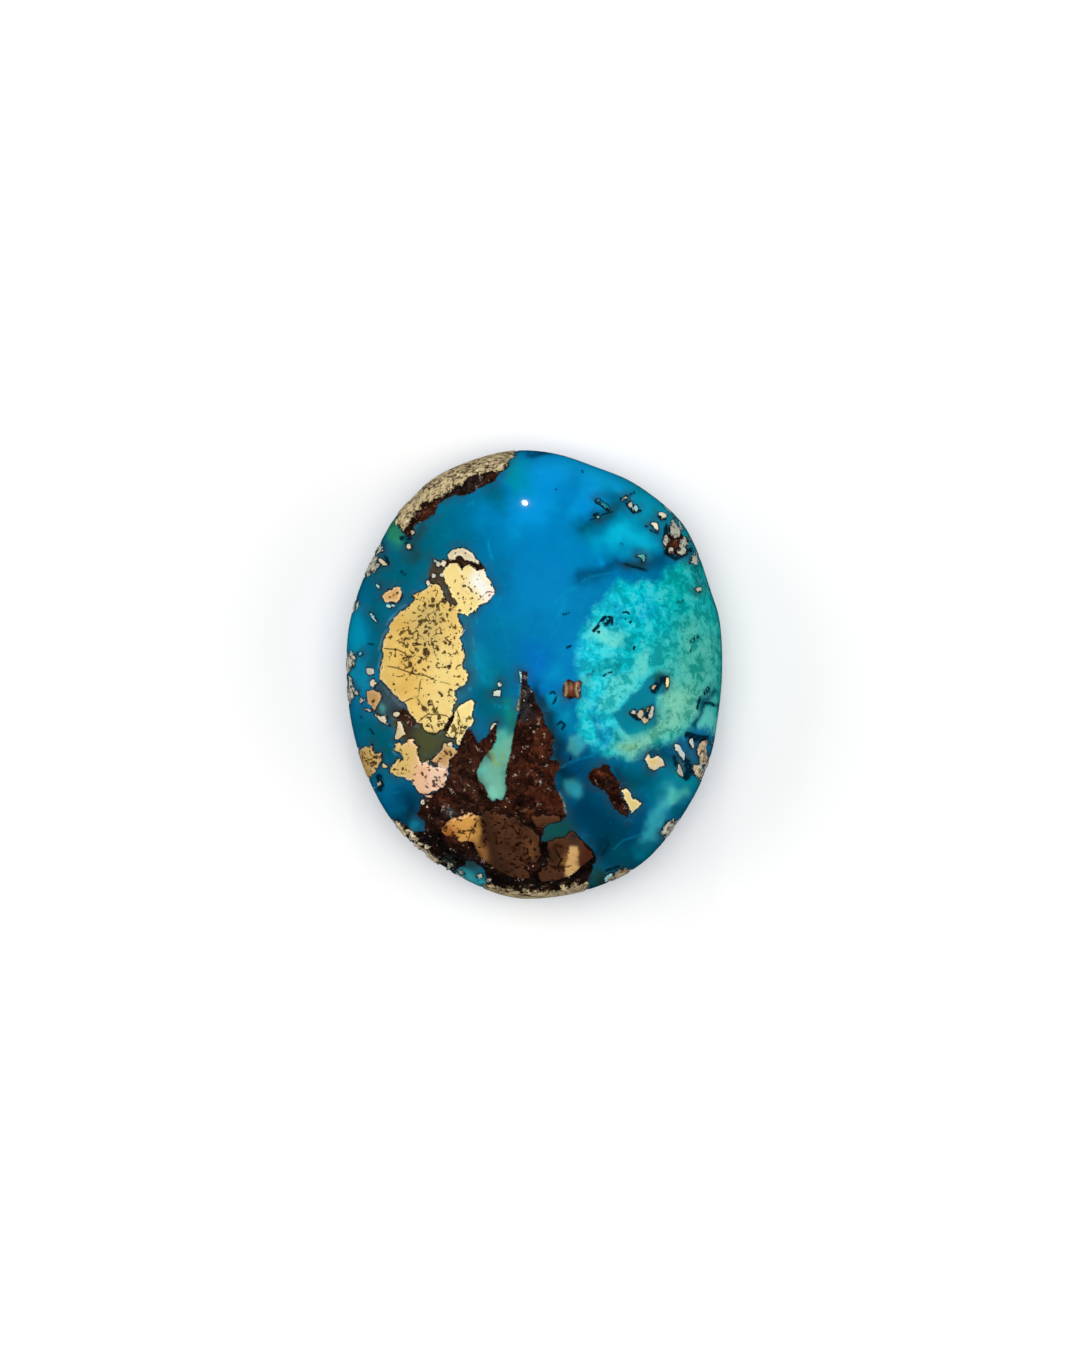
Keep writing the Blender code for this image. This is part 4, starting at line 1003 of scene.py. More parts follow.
def lay_clouds(x: np.ndarray, y: np.ndarray, base: np.ndarray, clouds: tuple[Cloud, ...]) -> np.ndarray:
    """Lay soft areas of colour over a base, each over the ones before it.

    Args:
        x: The points' places to the right.
        y: The points' places upwards.
        base: One linear colour a point.
        clouds: The areas, from the lowest to the topmost.

    Returns:
        One linear colour a point.
    """
    colour = base.copy()
    loose_x, loose_y = wander(x, y, 0.8, CLOUD_WANDER)
    near_x, near_y = wander(x, y, 2.4, EDGE_WANDER)
    for cloud in clouds:
        if cloud.filled:
            away = np.maximum(-outline_depth(near_x, near_y, cloud.path), 0.0)
        else:
            away = path_distance(loose_x, loose_y, cloud.path)
        share = (cloud.strength * np.exp(-((away / cloud.reach) ** 2)))[:, None]
        colour += (np.array(cloud.tint.linear) - colour) * share
    return colour


def lay_seams(x: np.ndarray, y: np.ndarray, seams: tuple[Seam, ...]) -> np.ndarray:
    """Find how strongly narrow marks show at each point.

    Args:
        x: The points' places to the right.
        y: The points' places upwards.
        seams: The marks.

    Returns:
        Strengths from 0 to 1.
    """
    share = np.zeros(x.shape)
    for seam in seams:
        away = path_distance(x, y, seam.path) / seam.width
        share = np.maximum(share, seam.strength * np.exp(-0.7 * away**2))
    return share


def side_of_seams(x: np.ndarray, y: np.ndarray, seams: tuple[Seam, ...]) -> np.ndarray:
    """Measure how far points lie to the left or right of the nearest seam.

    Args:
        x: The points' places to the right.
        y: The points' places upwards.
        seams: The seams, each of two corners or more.

    Returns:
        Distances, negative on the right of a seam, so that a fine line stays fine in between.
    """
    nearest = np.full(x.shape, FIELD_REACH)
    side = nearest.copy()
    for seam in seams:
        for (ax, ay), (bx, by) in zip(seam.path, seam.path[1:]):
            away = path_distance(x, y, ((ax, ay), (bx, by)))
            closer = away < nearest
            across = (bx - ax) * (y - ay) - (by - ay) * (x - ax)
            nearest[closer] = away[closer]
            side[closer] = (np.sign(across) * away)[closer]
    return side


def wander(x: np.ndarray, y: np.ndarray, waves: float, reach: float) -> tuple[np.ndarray, np.ndarray]:
    """Shift places a little this way and that, so that areas get natural edges.

    Args:
        x: The points' places to the right.
        y: The points' places upwards.
        waves: How many waves the shift has in a millimetre.
        reach: How far it goes.

    Returns:
        The shifted places.
    """
    moved = np.array([noise.turbulence_vector((u, v, 7.0), 3, False) for u, v in zip(waves * x, waves * y)])
    return x + reach * moved[:, 0], y + reach * moved[:, 1]


@dataclass(frozen=True)
class Side:
    """What shows in one side of the stone."""

    metal: tuple[Patch, ...]
    matrix: tuple[Points, ...]
    pale: tuple[Points, ...]
    calm: tuple[Points, ...]
    host_tints: tuple[Cloud, ...]
    pale_tints: tuple[Cloud, ...]
    matrix_tints: tuple[Cloud, ...]
    metal_tints: tuple[Cloud, ...]
    pitted: tuple[Seam, ...]
    pits: tuple[Seam, ...]
    dark: tuple[Seam, ...]
    light: tuple[Seam, ...]
    cleavage: tuple[Seam, ...]

    def read(self, x: np.ndarray, y: np.ndarray) -> Fields:
        """Work out every mark of this side at the given places.

        Args:
            x: The places to the right.
            y: The places upwards.

        Returns:
            Depths in millimetres, strengths, and linear colours, by name.
        """
        metal = np.full(x.shape, -FIELD_REACH)
        metal_tint = np.tile(Tint.GOLD.linear, (len(x), 1))
        crust = np.zeros(x.shape)
        breadth = np.zeros(x.shape)
        for patch in self.metal:
            depth = outline_depth(x, y, patch.outline)
            closer = depth > metal
            metal[closer] = depth[closer]
            metal_tint[closer] = patch.tint.linear
            crust[closer] = patch.crust
            breadth[closer] = patch.breadth_share()
        pit = np.full(x.shape, -FIELD_REACH)
        for seam in self.pits:
            pit = np.maximum(pit, seam.width - path_distance(x, y, seam.path))
        host = np.tile(Tint.HOST.linear, (len(x), 1))
        pale = np.tile(Tint.SEA_GREEN.linear, (len(x), 1))
        brown = np.tile(Tint.BROWN.linear, (len(x), 1))
        calm = np.zeros(x.shape)
        near_x, near_y = wander(x, y, 2.4, EDGE_WANDER)
        for shape in self.calm:
            calm = np.maximum(calm, ease(outline_depth(near_x, near_y, shape), -0.10, 0.04))
        return {
            "metal_mm": metal,
            "matrix_mm": np.max([outline_depth(x, y, shape) for shape in self.matrix], axis=0),
            "pale_mm": np.max([outline_depth(x, y, shape) for shape in self.pale], axis=0),
            "pit_mm": pit,
            "crust_share": crust,
            "breadth_share": breadth,
            "calm_share": calm,
            "pitted_share": 0.25 + 0.75 * lay_seams(x, y, self.pitted),
            "dark_mark": lay_seams(x, y, self.dark),
            "light_mark": lay_seams(x, y, self.light),
            "cleavage_mark": lay_seams(x, y, self.cleavage),
            "cleavage_side_mm": side_of_seams(x, y, self.cleavage),
            "host_tint": lay_clouds(x, y, host, self.host_tints),
            "pale_tint": lay_clouds(x, y, pale, self.pale_tints),
            "matrix_tint": lay_clouds(x, y, brown, self.matrix_tints),
            "metal_tint": lay_clouds(x, y, metal_tint, self.metal_tints),
        }


FRONT = Side(
    metal=FRONT_METAL, matrix=FRONT_MATRIX, pale=FRONT_PALE, calm=(INLET, END_CELL),
    host_tints=FRONT_HOST, pale_tints=FRONT_PALE_TINTS, matrix_tints=FRONT_MATRIX_TINTS,
    metal_tints=FRONT_METAL_TINTS, pitted=FRONT_PITTED, pits=FRONT_PITS, dark=FRONT_DARK,
    light=FRONT_LIGHT, cleavage=FRONT_CLEAVAGE,
)
BACK = Side(
    metal=BACK_METAL, matrix=BACK_MATRIX, pale=BACK_PALE, calm=(),
    host_tints=BACK_HOST, pale_tints=BACK_PALE_TINTS, matrix_tints=BACK_MATRIX_TINTS,
    metal_tints=BACK_METAL_TINTS, pitted=BACK_PITTED, pits=BACK_PITS, dark=BACK_DARK,
    light=BACK_LIGHT, cleavage=BACK_CLEAVAGE,
)

OUTLINE = (
    (9.40, 0.00), (9.30, 2.50), (8.85, 4.10), (8.00, 6.50), (7.00, 8.00), (5.00, 9.55),
    (3.00, 10.40), (1.00, 11.05), (-1.00, 11.20), (-3.00, 10.75), (-5.00, 9.85),
    (-6.50, 8.50), (-7.35, 7.35), (-8.55, 4.95), (-9.32, 2.50), (-9.47, 0.00),
    (-9.22, -2.47), (-8.52, -4.92), (-7.27, -7.27), (-5.50, -9.15), (-3.00, -10.60),
    (-1.00, -11.25), (1.00, -11.20), (3.00, -10.75), (5.00, -9.80), (6.50, -8.40),
    (8.00, -6.15), (8.80, -4.20), (9.15, -2.46),
)


@dataclass(frozen=True)
class GroundFlat:
    """A flat left on the flank by grinding: its direction in degrees and its cut."""

    azimuth: float
    tilt: float
    cut: float


@dataclass
class Surface:
    """The stone's surface as rings of points, with each point's place on the face."""

    places: np.ndarray
    faces: list[tuple[int, ...]]
    plan: np.ndarray
    under: np.ndarray
    sheet: np.ndarray


@dataclass(frozen=True)
class StoneForm:
    """The polished form: outline, dome, girdle, bevel and flat back."""

    length: float
    width: float
    height: float
    girdle: float = 2.1
    dome_spread: float = 2.35
    dome_fall: float = 2.1
    back_share: float = 0.90
    bevel_power: float = 2.6
    lean: Point = (0.022, -0.016)
    flats: tuple[GroundFlat, ...] = (
        GroundFlat(127.0, 50.0, 0.30),
        GroundFlat(203.0, 44.0, 0.22),
        GroundFlat(318.0, 47.0, 0.26),
        GroundFlat(28.0, 40.0, 0.20),
    )
    flat_blend: float = 0.35
    face_step: float = 0.086
    back_step: float = 0.20

    @classmethod
    def of_box(cls, low: Vector, high: Vector) -> "StoneForm":
        """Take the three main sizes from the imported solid's box, which is in metres."""
        return cls(length=(high[1] - low[1]) / MM, width=(high[0] - low[0]) / MM,
                   height=(high[2] - low[2]) / MM)

    def curve(self) -> np.ndarray:
        """Points along the girdle as it was read, on a smooth closed curve."""
        nodes = np.array(OUTLINE)
        a, b, c, d = (np.roll(nodes, shift, 0)[:, None, :] for shift in (1, 0, -1, -2))
        t = np.linspace(0.0, 1.0, 12, endpoint=False)[None, :, None]
        bend = (2 * a - 5 * b + 4 * c - d) * t**2 + (3 * b - a - 3 * c + d) * t**3
        return (0.5 * (2 * b + (c - a) * t + bend)).reshape(-1, 2)

    def reading_middle(self) -> np.ndarray:
        """The middle of the girdle's box in the readings' own coordinates."""
        curve = self.curve()
        return (curve.min(0) + curve.max(0)) / 2

    def radius(self, angles: np.ndarray) -> np.ndarray:
        """Distance from the middle to the girdle in each direction."""
        curve = self.curve()
        low, high = curve.min(0), curve.max(0)
        curve = (curve - (low + high) / 2) * np.array((self.width, self.length)) / (high - low)
        turn = np.arctan2(curve[:, 1], curve[:, 0])
        order = np.argsort(turn)
        reach = np.hypot(curve[:, 0], curve[:, 1])
        return np.interp(angles, turn[order], reach[order], period=2 * math.pi)

    def dome_section(self) -> tuple[np.ndarray, np.ndarray]:
        """Shares of the outline and heights from the crown to the girdle."""
        s = np.linspace(0.0, 1.0, 600)
        share = 1.0 - (1.0 - s) ** 2
        rise = self.height - self.girdle
        fall = (1.0 - share**self.dome_spread) ** (1.0 / self.dome_fall)
        return share, self.girdle + rise * fall

    def bevel_section(self) -> tuple[np.ndarray, np.ndarray]:
        """Shares of the outline and heights from the girdle to the edge of the back."""
        side = np.sin(np.linspace(0.0, math.pi / 2, 600))
        inset = (1.0 - side**self.bevel_power) ** (1.0 / self.bevel_power)
        return self.back_share + (1.0 - self.back_share) * inset, self.girdle * (1.0 - side)

    def even_steps(self, share: np.ndarray, height: np.ndarray, step: float) -> np.ndarray:
        """Walk a section in even steps.

        Args:
            share: Shares of the outline along the section.
            height: Heights along the section.
            step: The wanted length of a step.

        Returns:
            Rows of share, height and distance walked.
        """
        mean = (self.length + self.width) / 4
        walked = np.concatenate(([0.0], np.cumsum(np.hypot(np.diff(share * mean), np.diff(height)))))
        stops = np.linspace(0.0, walked[-1], max(2, round(walked[-1] / step)) + 1)
        return np.column_stack((np.interp(stops, walked, share), np.interp(stops, walked, height), stops))

    def ground(self, x: np.ndarray, y: np.ndarray, z: np.ndarray, share: np.ndarray) -> np.ndarray:
        """Cut the grinding flats into the dome.

        Args:
            x: Places to the right.
            y: Places upwards.
            z: Heights of the dome.
            share: How near each point is to the girdle, from 0 to 1.

        Returns:
            The lowered heights.
        """
        for flat in self.flats:
            lean, turn = math.radians(flat.tilt), math.radians(flat.azimuth)
            nx, ny = math.sin(lean) * math.cos(turn), math.sin(lean) * math.sin(turn)
            nz = math.cos(lean)
            reach = (nx * x + ny * y + nz * z).max() - flat.cut
            plane = (reach - nx * x - ny * y) / nz
            mix = np.clip(0.5 + 0.5 * (plane - z) / self.flat_blend, 0.0, 1.0)
            lowest = plane * (1 - mix) + z * mix - self.flat_blend * mix * (1 - mix)
            z = z + (lowest - z) * (1.0 - share**6)
        return z

    def surface(self, eye_height: float, eye: Point) -> Surface:
        """Lay out the whole surface in rings.

        Args:
            eye_height: How far above the girdle the face was looked at from.
            eye: The point looked straight down on.

        Returns:
            The closed surface, with front faces outward.
        """
        dome = self.even_steps(*self.dome_section(), self.face_step)
        bevel = self.even_steps(*self.bevel_section(), self.face_step * 1.15)[1:]
        back_shares = np.linspace(self.back_share, 0.0, round(9.3 / self.back_step) + 1)[1:]
        middle = self.reading_middle()
        mean = (self.length + self.width) / 4
        places, plans, unders, sheets, counts = [], [], [], [], []

        def add_ring(share: float, height: float, walked: float, part: str) -> None:
            """Add one ring of points."""
            around = 2 * math.pi * mean * share
            step = self.back_step if part == "back" else self.face_step
            count = max(8, round(around / step)) if share > 0 else 1
            turn = np.arange(count) * 2 * math.pi / count
            way = np.stack((np.cos(turn), np.sin(turn)), 1)
            reach = self.radius(turn)[:, None]
            across = way * reach * share
            x, y = across.T
            z = np.full(count, height)
            if part == "dome":
                z = z + (self.lean[0] * x + self.lean[1] * y) * (1.0 - share**2)
            places.append(np.column_stack((x, y, z)))
            if part == "bevel":
                seen = way * (reach + walked) + middle
            else:
                zoom = (eye_height / (eye_height - (z - self.girdle)))[:, None]
                seen = np.array(eye) + (across + middle - np.array(eye)) * zoom
            plans.append(seen)
            under = {"dome": 0.0, "bevel": 1.0 - height / self.girdle, "back": 1.0}[part]
            unders.append(np.full(count, under))
            sheets.append(np.column_stack((way * walked, np.full(count, float(part == "back")))))
            counts.append(count)

        for share, height, walked in dome:
            add_ring(share, height, walked, "dome")
        dome_run = dome[-1, 2]
        for share, height, walked in bevel:
            add_ring(share, height, walked, "bevel")
            sheets[-1][:, :2] *= (dome_run + walked) / walked
        for share in back_shares:
            add_ring(share, 0.0, share * mean, "back")
        placed = np.concatenate(places)
        dome_points = sum(counts[: len(dome)])
        shares = np.concatenate([np.full(c, s) for c, s in zip(counts, dome[:, 0])])
        x, y, z = placed[:dome_points].T
        z = self.ground(x, y, z, shares)
        crown = (self.height - self.girdle) / (z.max() - self.girdle)
        placed[:dome_points, 2] = self.girdle + (z - self.girdle) * crown
        return Surface(placed, ring_faces(counts), np.concatenate(plans),
                       np.concatenate(unders), np.concatenate(sheets))


def ring_faces(counts: list[int]) -> list[tuple[int, ...]]:
    """Join each ring to the next with triangles.

    Args:
        counts: Points in each ring, from the crown round to the middle of the back.

    Returns:
        Triangles that face outward.
    """
    faces = []
    start = 0
    for near, far in zip(counts, counts[1:]):
        after = start + near
        i = j = 0
        inner_steps = near if near > 1 else 0
        outer_steps = far if far > 1 else 0
        while i < inner_steps or j < outer_steps:
            step_out = i >= inner_steps or (j < outer_steps and (j + 0.5) * near <= (i + 0.5) * far)
            here, there = start + i % near, after + j % far
            if step_out:
                faces.append((here, there, after + (j + 1) % far))
                j += 1
            else:
                faces.append((here, there, start + (i + 1) % near))
                i += 1
        start = after
    return faces


def ease(value: np.ndarray, low: float, high: float) -> np.ndarray:
    """Rise smoothly from 0 at the low value to 1 at the high one."""
    t = np.clip((value - low) / (high - low), 0.0, 1.0)
    return t * t * (3.0 - 2.0 * t)


def bumps(places: np.ndarray, size: float, seed: float, wanted: np.ndarray) -> np.ndarray:
    """Work out rounded bumps where they are wanted.

    Args:
        places: Points in millimetres.
        size: The bumps' rough size.
        seed: Moves the pattern.
        wanted: Which points need a value.

    Returns:
        Heights between -1 and 1, and 0 where none is wanted.
    """
    height = np.zeros(len(places))
    shift = Vector((seed, -seed, seed))
    for index in np.flatnonzero(wanted):
        height[index] = noise.fractal(Vector(places[index]) / size + shift, 0.9, 2.1, 3)
    return height


@dataclass(frozen=True)
class Relief:
    """How far each kind of surface stands from the polish, in millimetres."""

    matrix_depth: float = 0.13
    matrix_lumps: float = 0.10
    plate_proud: float = 0.02
    groove: float = 0.05
    pit_depth: float = 0.10
    crust_lumps: float = 0.03

    def heights(self, places: np.ndarray, fields: Fields) -> np.ndarray:
        """Work out the height of the surface against the polished form.

        Args:
            places: Points in millimetres.
            fields: The marks at each point.

        Returns:
            One height a point.
        """
        metal, matrix = fields["metal_mm"], fields["matrix_mm"]
        plate = ease(metal, -0.06, 0.04)
        worn = ease(matrix, -0.03, 0.22) * (1.0 - plate)
        lumps = bumps(places, 0.75, 3.0, matrix > -0.05)
        height = self.plate_proud * plate
        height -= worn * (self.matrix_depth - self.matrix_lumps * lumps)
        height -= self.groove * np.exp(-(((metal + 0.08) / 0.06) ** 2))
        height -= self.pit_depth * ease(fields["pit_mm"], -0.05, 0.06) * plate
        height -= 0.03 * fields["dark_mark"] * (1.0 - plate)
        return height


@dataclass(frozen=True)
class Socket:
    """One input or output of a node group."""

    name: str
    kind: str = "NodeSocketFloat"
    value: float = 0.0


VECTOR = "NodeSocketVector"
COLOUR = "NodeSocketColor"


class Graph:
    """Adds and joins shader nodes."""

    def __init__(self, tree: bpy.types.NodeTree) -> None:
        """Work on the given node tree."""
        self.tree = tree

    def add(self, kind: str, **settings: object) -> bpy.types.Node:
        """Add a node of a kind and set its properties."""
        node = self.tree.nodes.new(kind)
        for name, value in settings.items():
            setattr(node, name, value)
        return node

    def feed(self, socket: bpy.types.NodeSocket, value: object) -> None:
        """Link a socket to another, or set its plain value."""
        if isinstance(value, bpy.types.NodeSocket):
            self.tree.links.new(value, socket)
        else:
            socket.default_value = value

    def math(self, operation: str, *values: object) -> bpy.types.NodeSocket:
        """Add a Math node over one to three values."""
        node = self.add("ShaderNodeMath", operation=operation)
        for socket, value in zip(node.inputs, values):
            self.feed(socket, value)
        return node.outputs[0]

    def mix(self, share: object, low: object, high: object, mode: str = "MIX") -> bpy.types.NodeSocket:
        """Mix two colours."""
        node = self.add("ShaderNodeMix", data_type="RGBA", blend_type=mode)
        self.feed(node.inputs["Factor"], share)
        self.feed(node.inputs[6], low)
        self.feed(node.inputs[7], high)
        return node.outputs[2]

    def blend(self, share: object, low: object, high: object) -> bpy.types.NodeSocket:
        """Mix two numbers."""
        node = self.add("ShaderNodeMix", data_type="FLOAT")
        self.feed(node.inputs[0], share)
        self.feed(node.inputs[2], low)
        self.feed(node.inputs[3], high)
        return node.outputs[0]

    def rise(self, value: object, low: object, high: object) -> bpy.types.NodeSocket:
        """Rise smoothly from 0 at the low value to 1 at the high one."""
        node = self.add("ShaderNodeMapRange", interpolation_type="SMOOTHSTEP")
        self.feed(node.inputs["Value"], value)
        self.feed(node.inputs["From Min"], low)
        self.feed(node.inputs["From Max"], high)
        return node.outputs["Result"]

    def noise(self, place: object, scale: object, detail: float = 3.0, rough: float = 0.55,
              twist: float = 0.0) -> bpy.types.NodeSocket:
        """Add a noise of so many waves a millimetre and put out its value."""
        node = self.add("ShaderNodeTexNoise")
        self.feed(node.inputs["Vector"], place)
        self.feed(node.inputs["Scale"], scale)
        node.inputs["Detail"].default_value = detail
        node.inputs["Roughness"].default_value = rough
        node.inputs["Distortion"].default_value = twist
        return node.outputs["Fac"]

    def cells(self, place: object, scale: float, feature: str = "F1") -> bpy.types.Node:
        """Add a Voronoi pattern of so many cells a millimetre."""
        node = self.add("ShaderNodeTexVoronoi", feature=feature)
        self.feed(node.inputs["Vector"], place)
        node.inputs["Scale"].default_value = scale
        return node

    def adjust(self, colour: object, value: object, hue: object = 0.5,
               saturation: object = 1.0) -> bpy.types.NodeSocket:
        """Change a colour's brightness, hue and saturation."""
        node = self.add("ShaderNodeHueSaturation")
        self.feed(node.inputs["Color"], colour)
        self.feed(node.inputs["Value"], value)
        self.feed(node.inputs["Hue"], hue)
        self.feed(node.inputs["Saturation"], saturation)
        return node.outputs["Color"]

    def attribute(self, name: str, colour: bool = False) -> bpy.types.NodeSocket:
        """Read one of the stone's marks from the mesh."""
        node = self.add("ShaderNodeAttribute", attribute_name=name)
        return node.outputs["Color" if colour else "Fac"]

    def group(self, tree: bpy.types.NodeTree, **values: object) -> bpy.types.Node:
        """Place a node group and feed its inputs by name, with _ for a space."""
        node = self.add("ShaderNodeGroup", node_tree=tree)
        for name, value in values.items():
            self.feed(node.inputs[name.replace("_", " ")], value)
        return node


def make_group(name: str, inputs: tuple[Socket, ...], outputs: tuple[Socket, ...],
               build: Callable[[Graph, dict[str, bpy.types.NodeSocket]], dict[str, object]],
               ) -> bpy.types.NodeTree:
    """Make a shader node group once.

    Args:
        name: The group's name.
        inputs: Its inputs.
        outputs: Its outputs.
        build: Adds the nodes and returns what feeds each output by name.

    Returns:
        The group.
    """
    tree = bpy.data.node_groups.new(name, "ShaderNodeTree")
    for socket in inputs:
        made = tree.interface.new_socket(socket.name, in_out="INPUT", socket_type=socket.kind)
        if socket.kind == "NodeSocketFloat":
            made.default_value = socket.value
    for socket in outputs:
        tree.interface.new_socket(socket.name, in_out="OUTPUT", socket_type=socket.kind)
    entry = tree.nodes.new("NodeGroupInput")
    exit_node = tree.nodes.new("NodeGroupOutput")
    made_outputs = build(Graph(tree), {socket.name: entry.outputs[socket.name] for socket in inputs})
    for socket_name, value in made_outputs.items():
        tree.links.new(value, exit_node.inputs[socket_name])
    return tree


def ragged_edge(graph: Graph, given: dict[str, bpy.types.NodeSocket]) -> dict[str, object]:
    """Turn a depth into a mask whose edge is uneven, chipped in small corners and may sway."""
    coarse = graph.math("SUBTRACT", graph.noise(given["Place"], given["Grain"], 3.0, 0.6), 0.5)
    finer = graph.math("MULTIPLY", given["Grain"], 3.1)
    fine = graph.math("SUBTRACT", graph.noise(given["Place"], finer, 2.0, 0.6), 0.5)
    wander = graph.math("ADD", graph.math("MULTIPLY", coarse, 2.0), fine)
    depth = graph.math("MULTIPLY_ADD", wander, given["Raggedness"], given["Depth"])
    chip = graph.math("SUBTRACT", graph.cells(given["Place"], 4.2).outputs["Color"], 0.5)
    depth = graph.math("MULTIPLY_ADD", chip, given["Chipping"], depth)
    drift = graph.math("SUBTRACT", graph.noise(given["Place"], 0.70, 3.0, 0.6, 2.2), 0.5)
    depth = graph.math("MULTIPLY_ADD", drift, given["Sway"], depth)
    low = graph.math("MULTIPLY", given["Softness"], -1.0)
    return {"Mask": graph.rise(depth, low, given["Softness"]), "Depth": depth}


def turquoise_look(graph: Graph, given: dict[str, bpy.types.NodeSocket]) -> dict[str, object]:
    """Blue host rock, its pale mottled part, healed cracks and dark specks."""
    place = given["Place"]
    broad = graph.noise(place, 0.42, 4.0, 0.55, 0.4)
    fine = graph.noise(place, 2.6, 5.0, 0.62)
    value = graph.math("MULTIPLY_ADD", broad, 0.30, 0.73)
    value = graph.math("MULTIPLY_ADD", fine, 0.24, value)
    hue = graph.math("MULTIPLY_ADD", graph.noise(place, 0.7, 3.0), 0.02, 0.49)
    host = graph.adjust(given["Host Tint"], value, hue)
    haze = graph.rise(graph.noise(place, 1.1, 4.0, 0.6, 1.2), 0.58, 0.78)
    host = graph.mix(graph.math("MULTIPLY", haze, 0.20), host, Tint.HEALED.rgba)

    blotch = graph.noise(place, 0.80, 5.0, 0.60, 0.6)
    curd = graph.noise(place, 2.3, 5.0, 0.64, 0.5)
    crumb = graph.noise(place, 6.0, 3.0, 0.6, 0.2)
    tone = graph.math("MULTIPLY_ADD", crumb, 0.46, graph.math("MULTIPLY_ADD", curd, 0.50, 0.46))
    pale = graph.adjust(given["Pale Tint"], tone)
    light = graph.math("MULTIPLY_ADD", graph.math("SUBTRACT", curd, 0.5), 1.2, blotch)
    milky = graph.mix(graph.math("MULTIPLY", blotch, 0.22),
                      graph.adjust(given["Pale Tint"], 1.06, 0.495, 0.96), Tint.FOAM.rgba)
    pale = graph.mix(graph.math("MULTIPLY", graph.rise(light, 0.53, 0.64), 0.85), pale, milky)
    sunk = graph.math("MULTIPLY", graph.rise(light, 0.48, 0.38), 0.85)
    pale = graph.mix(sunk, pale, graph.adjust(given["Pale Tint"], 0.58, 0.503, 1.2))
    speck = graph.math("MULTIPLY", graph.rise(crumb, 0.38, 0.30), 0.65)
    pale = graph.mix(speck, pale, graph.adjust(given["Pale Tint"], 0.34, 0.5, 1.2))
    calm = graph.adjust(given["Pale Tint"], graph.math("MULTIPLY_ADD", blotch, 0.3, 0.85))
    pale = graph.mix(given["Calm"], pale, calm)
    fleck = graph.math("MULTIPLY", graph.rise(graph.noise(place, 6.5, 1.0), 0.72, 0.78), 0.22)
    host = graph.mix(fleck, host, Tint.HEALED.rgba)
    colour = graph.mix(given["Pale Mask"], host, pale)

    break_up = graph.rise(graph.noise(place, 5.0, 3.0, 0.6), 0.30, 0.52)
    trace = graph.math("MULTIPLY", given["Light Mark"], graph.math("MULTIPLY", break_up, 0.75))
    colour = graph.mix(trace, colour, Tint.HEALED.rgba)
    colour = graph.mix(given["Smoke"], colour, graph.mix(0.5, Tint.SLATE.rgba, Tint.MIDNIGHT.rgba))
    dark = graph.math("MULTIPLY", given["Dark Mark"], graph.math("ADD", 0.4, break_up))
    colour = graph.mix(graph.rise(dark, 0.18, 0.75), colour, Tint.MIDNIGHT.rgba)
    rough = graph.math("MULTIPLY_ADD", given["Pale Mask"], 0.07, 0.055)
    rough = graph.math("MULTIPLY_ADD", fine, 0.03, rough)
    height = graph.math("MULTIPLY", graph.math("MULTIPLY", crumb, given["Pale Mask"]), 0.012)
    return {"Colour": colour, "Roughness": rough, "Height": height}


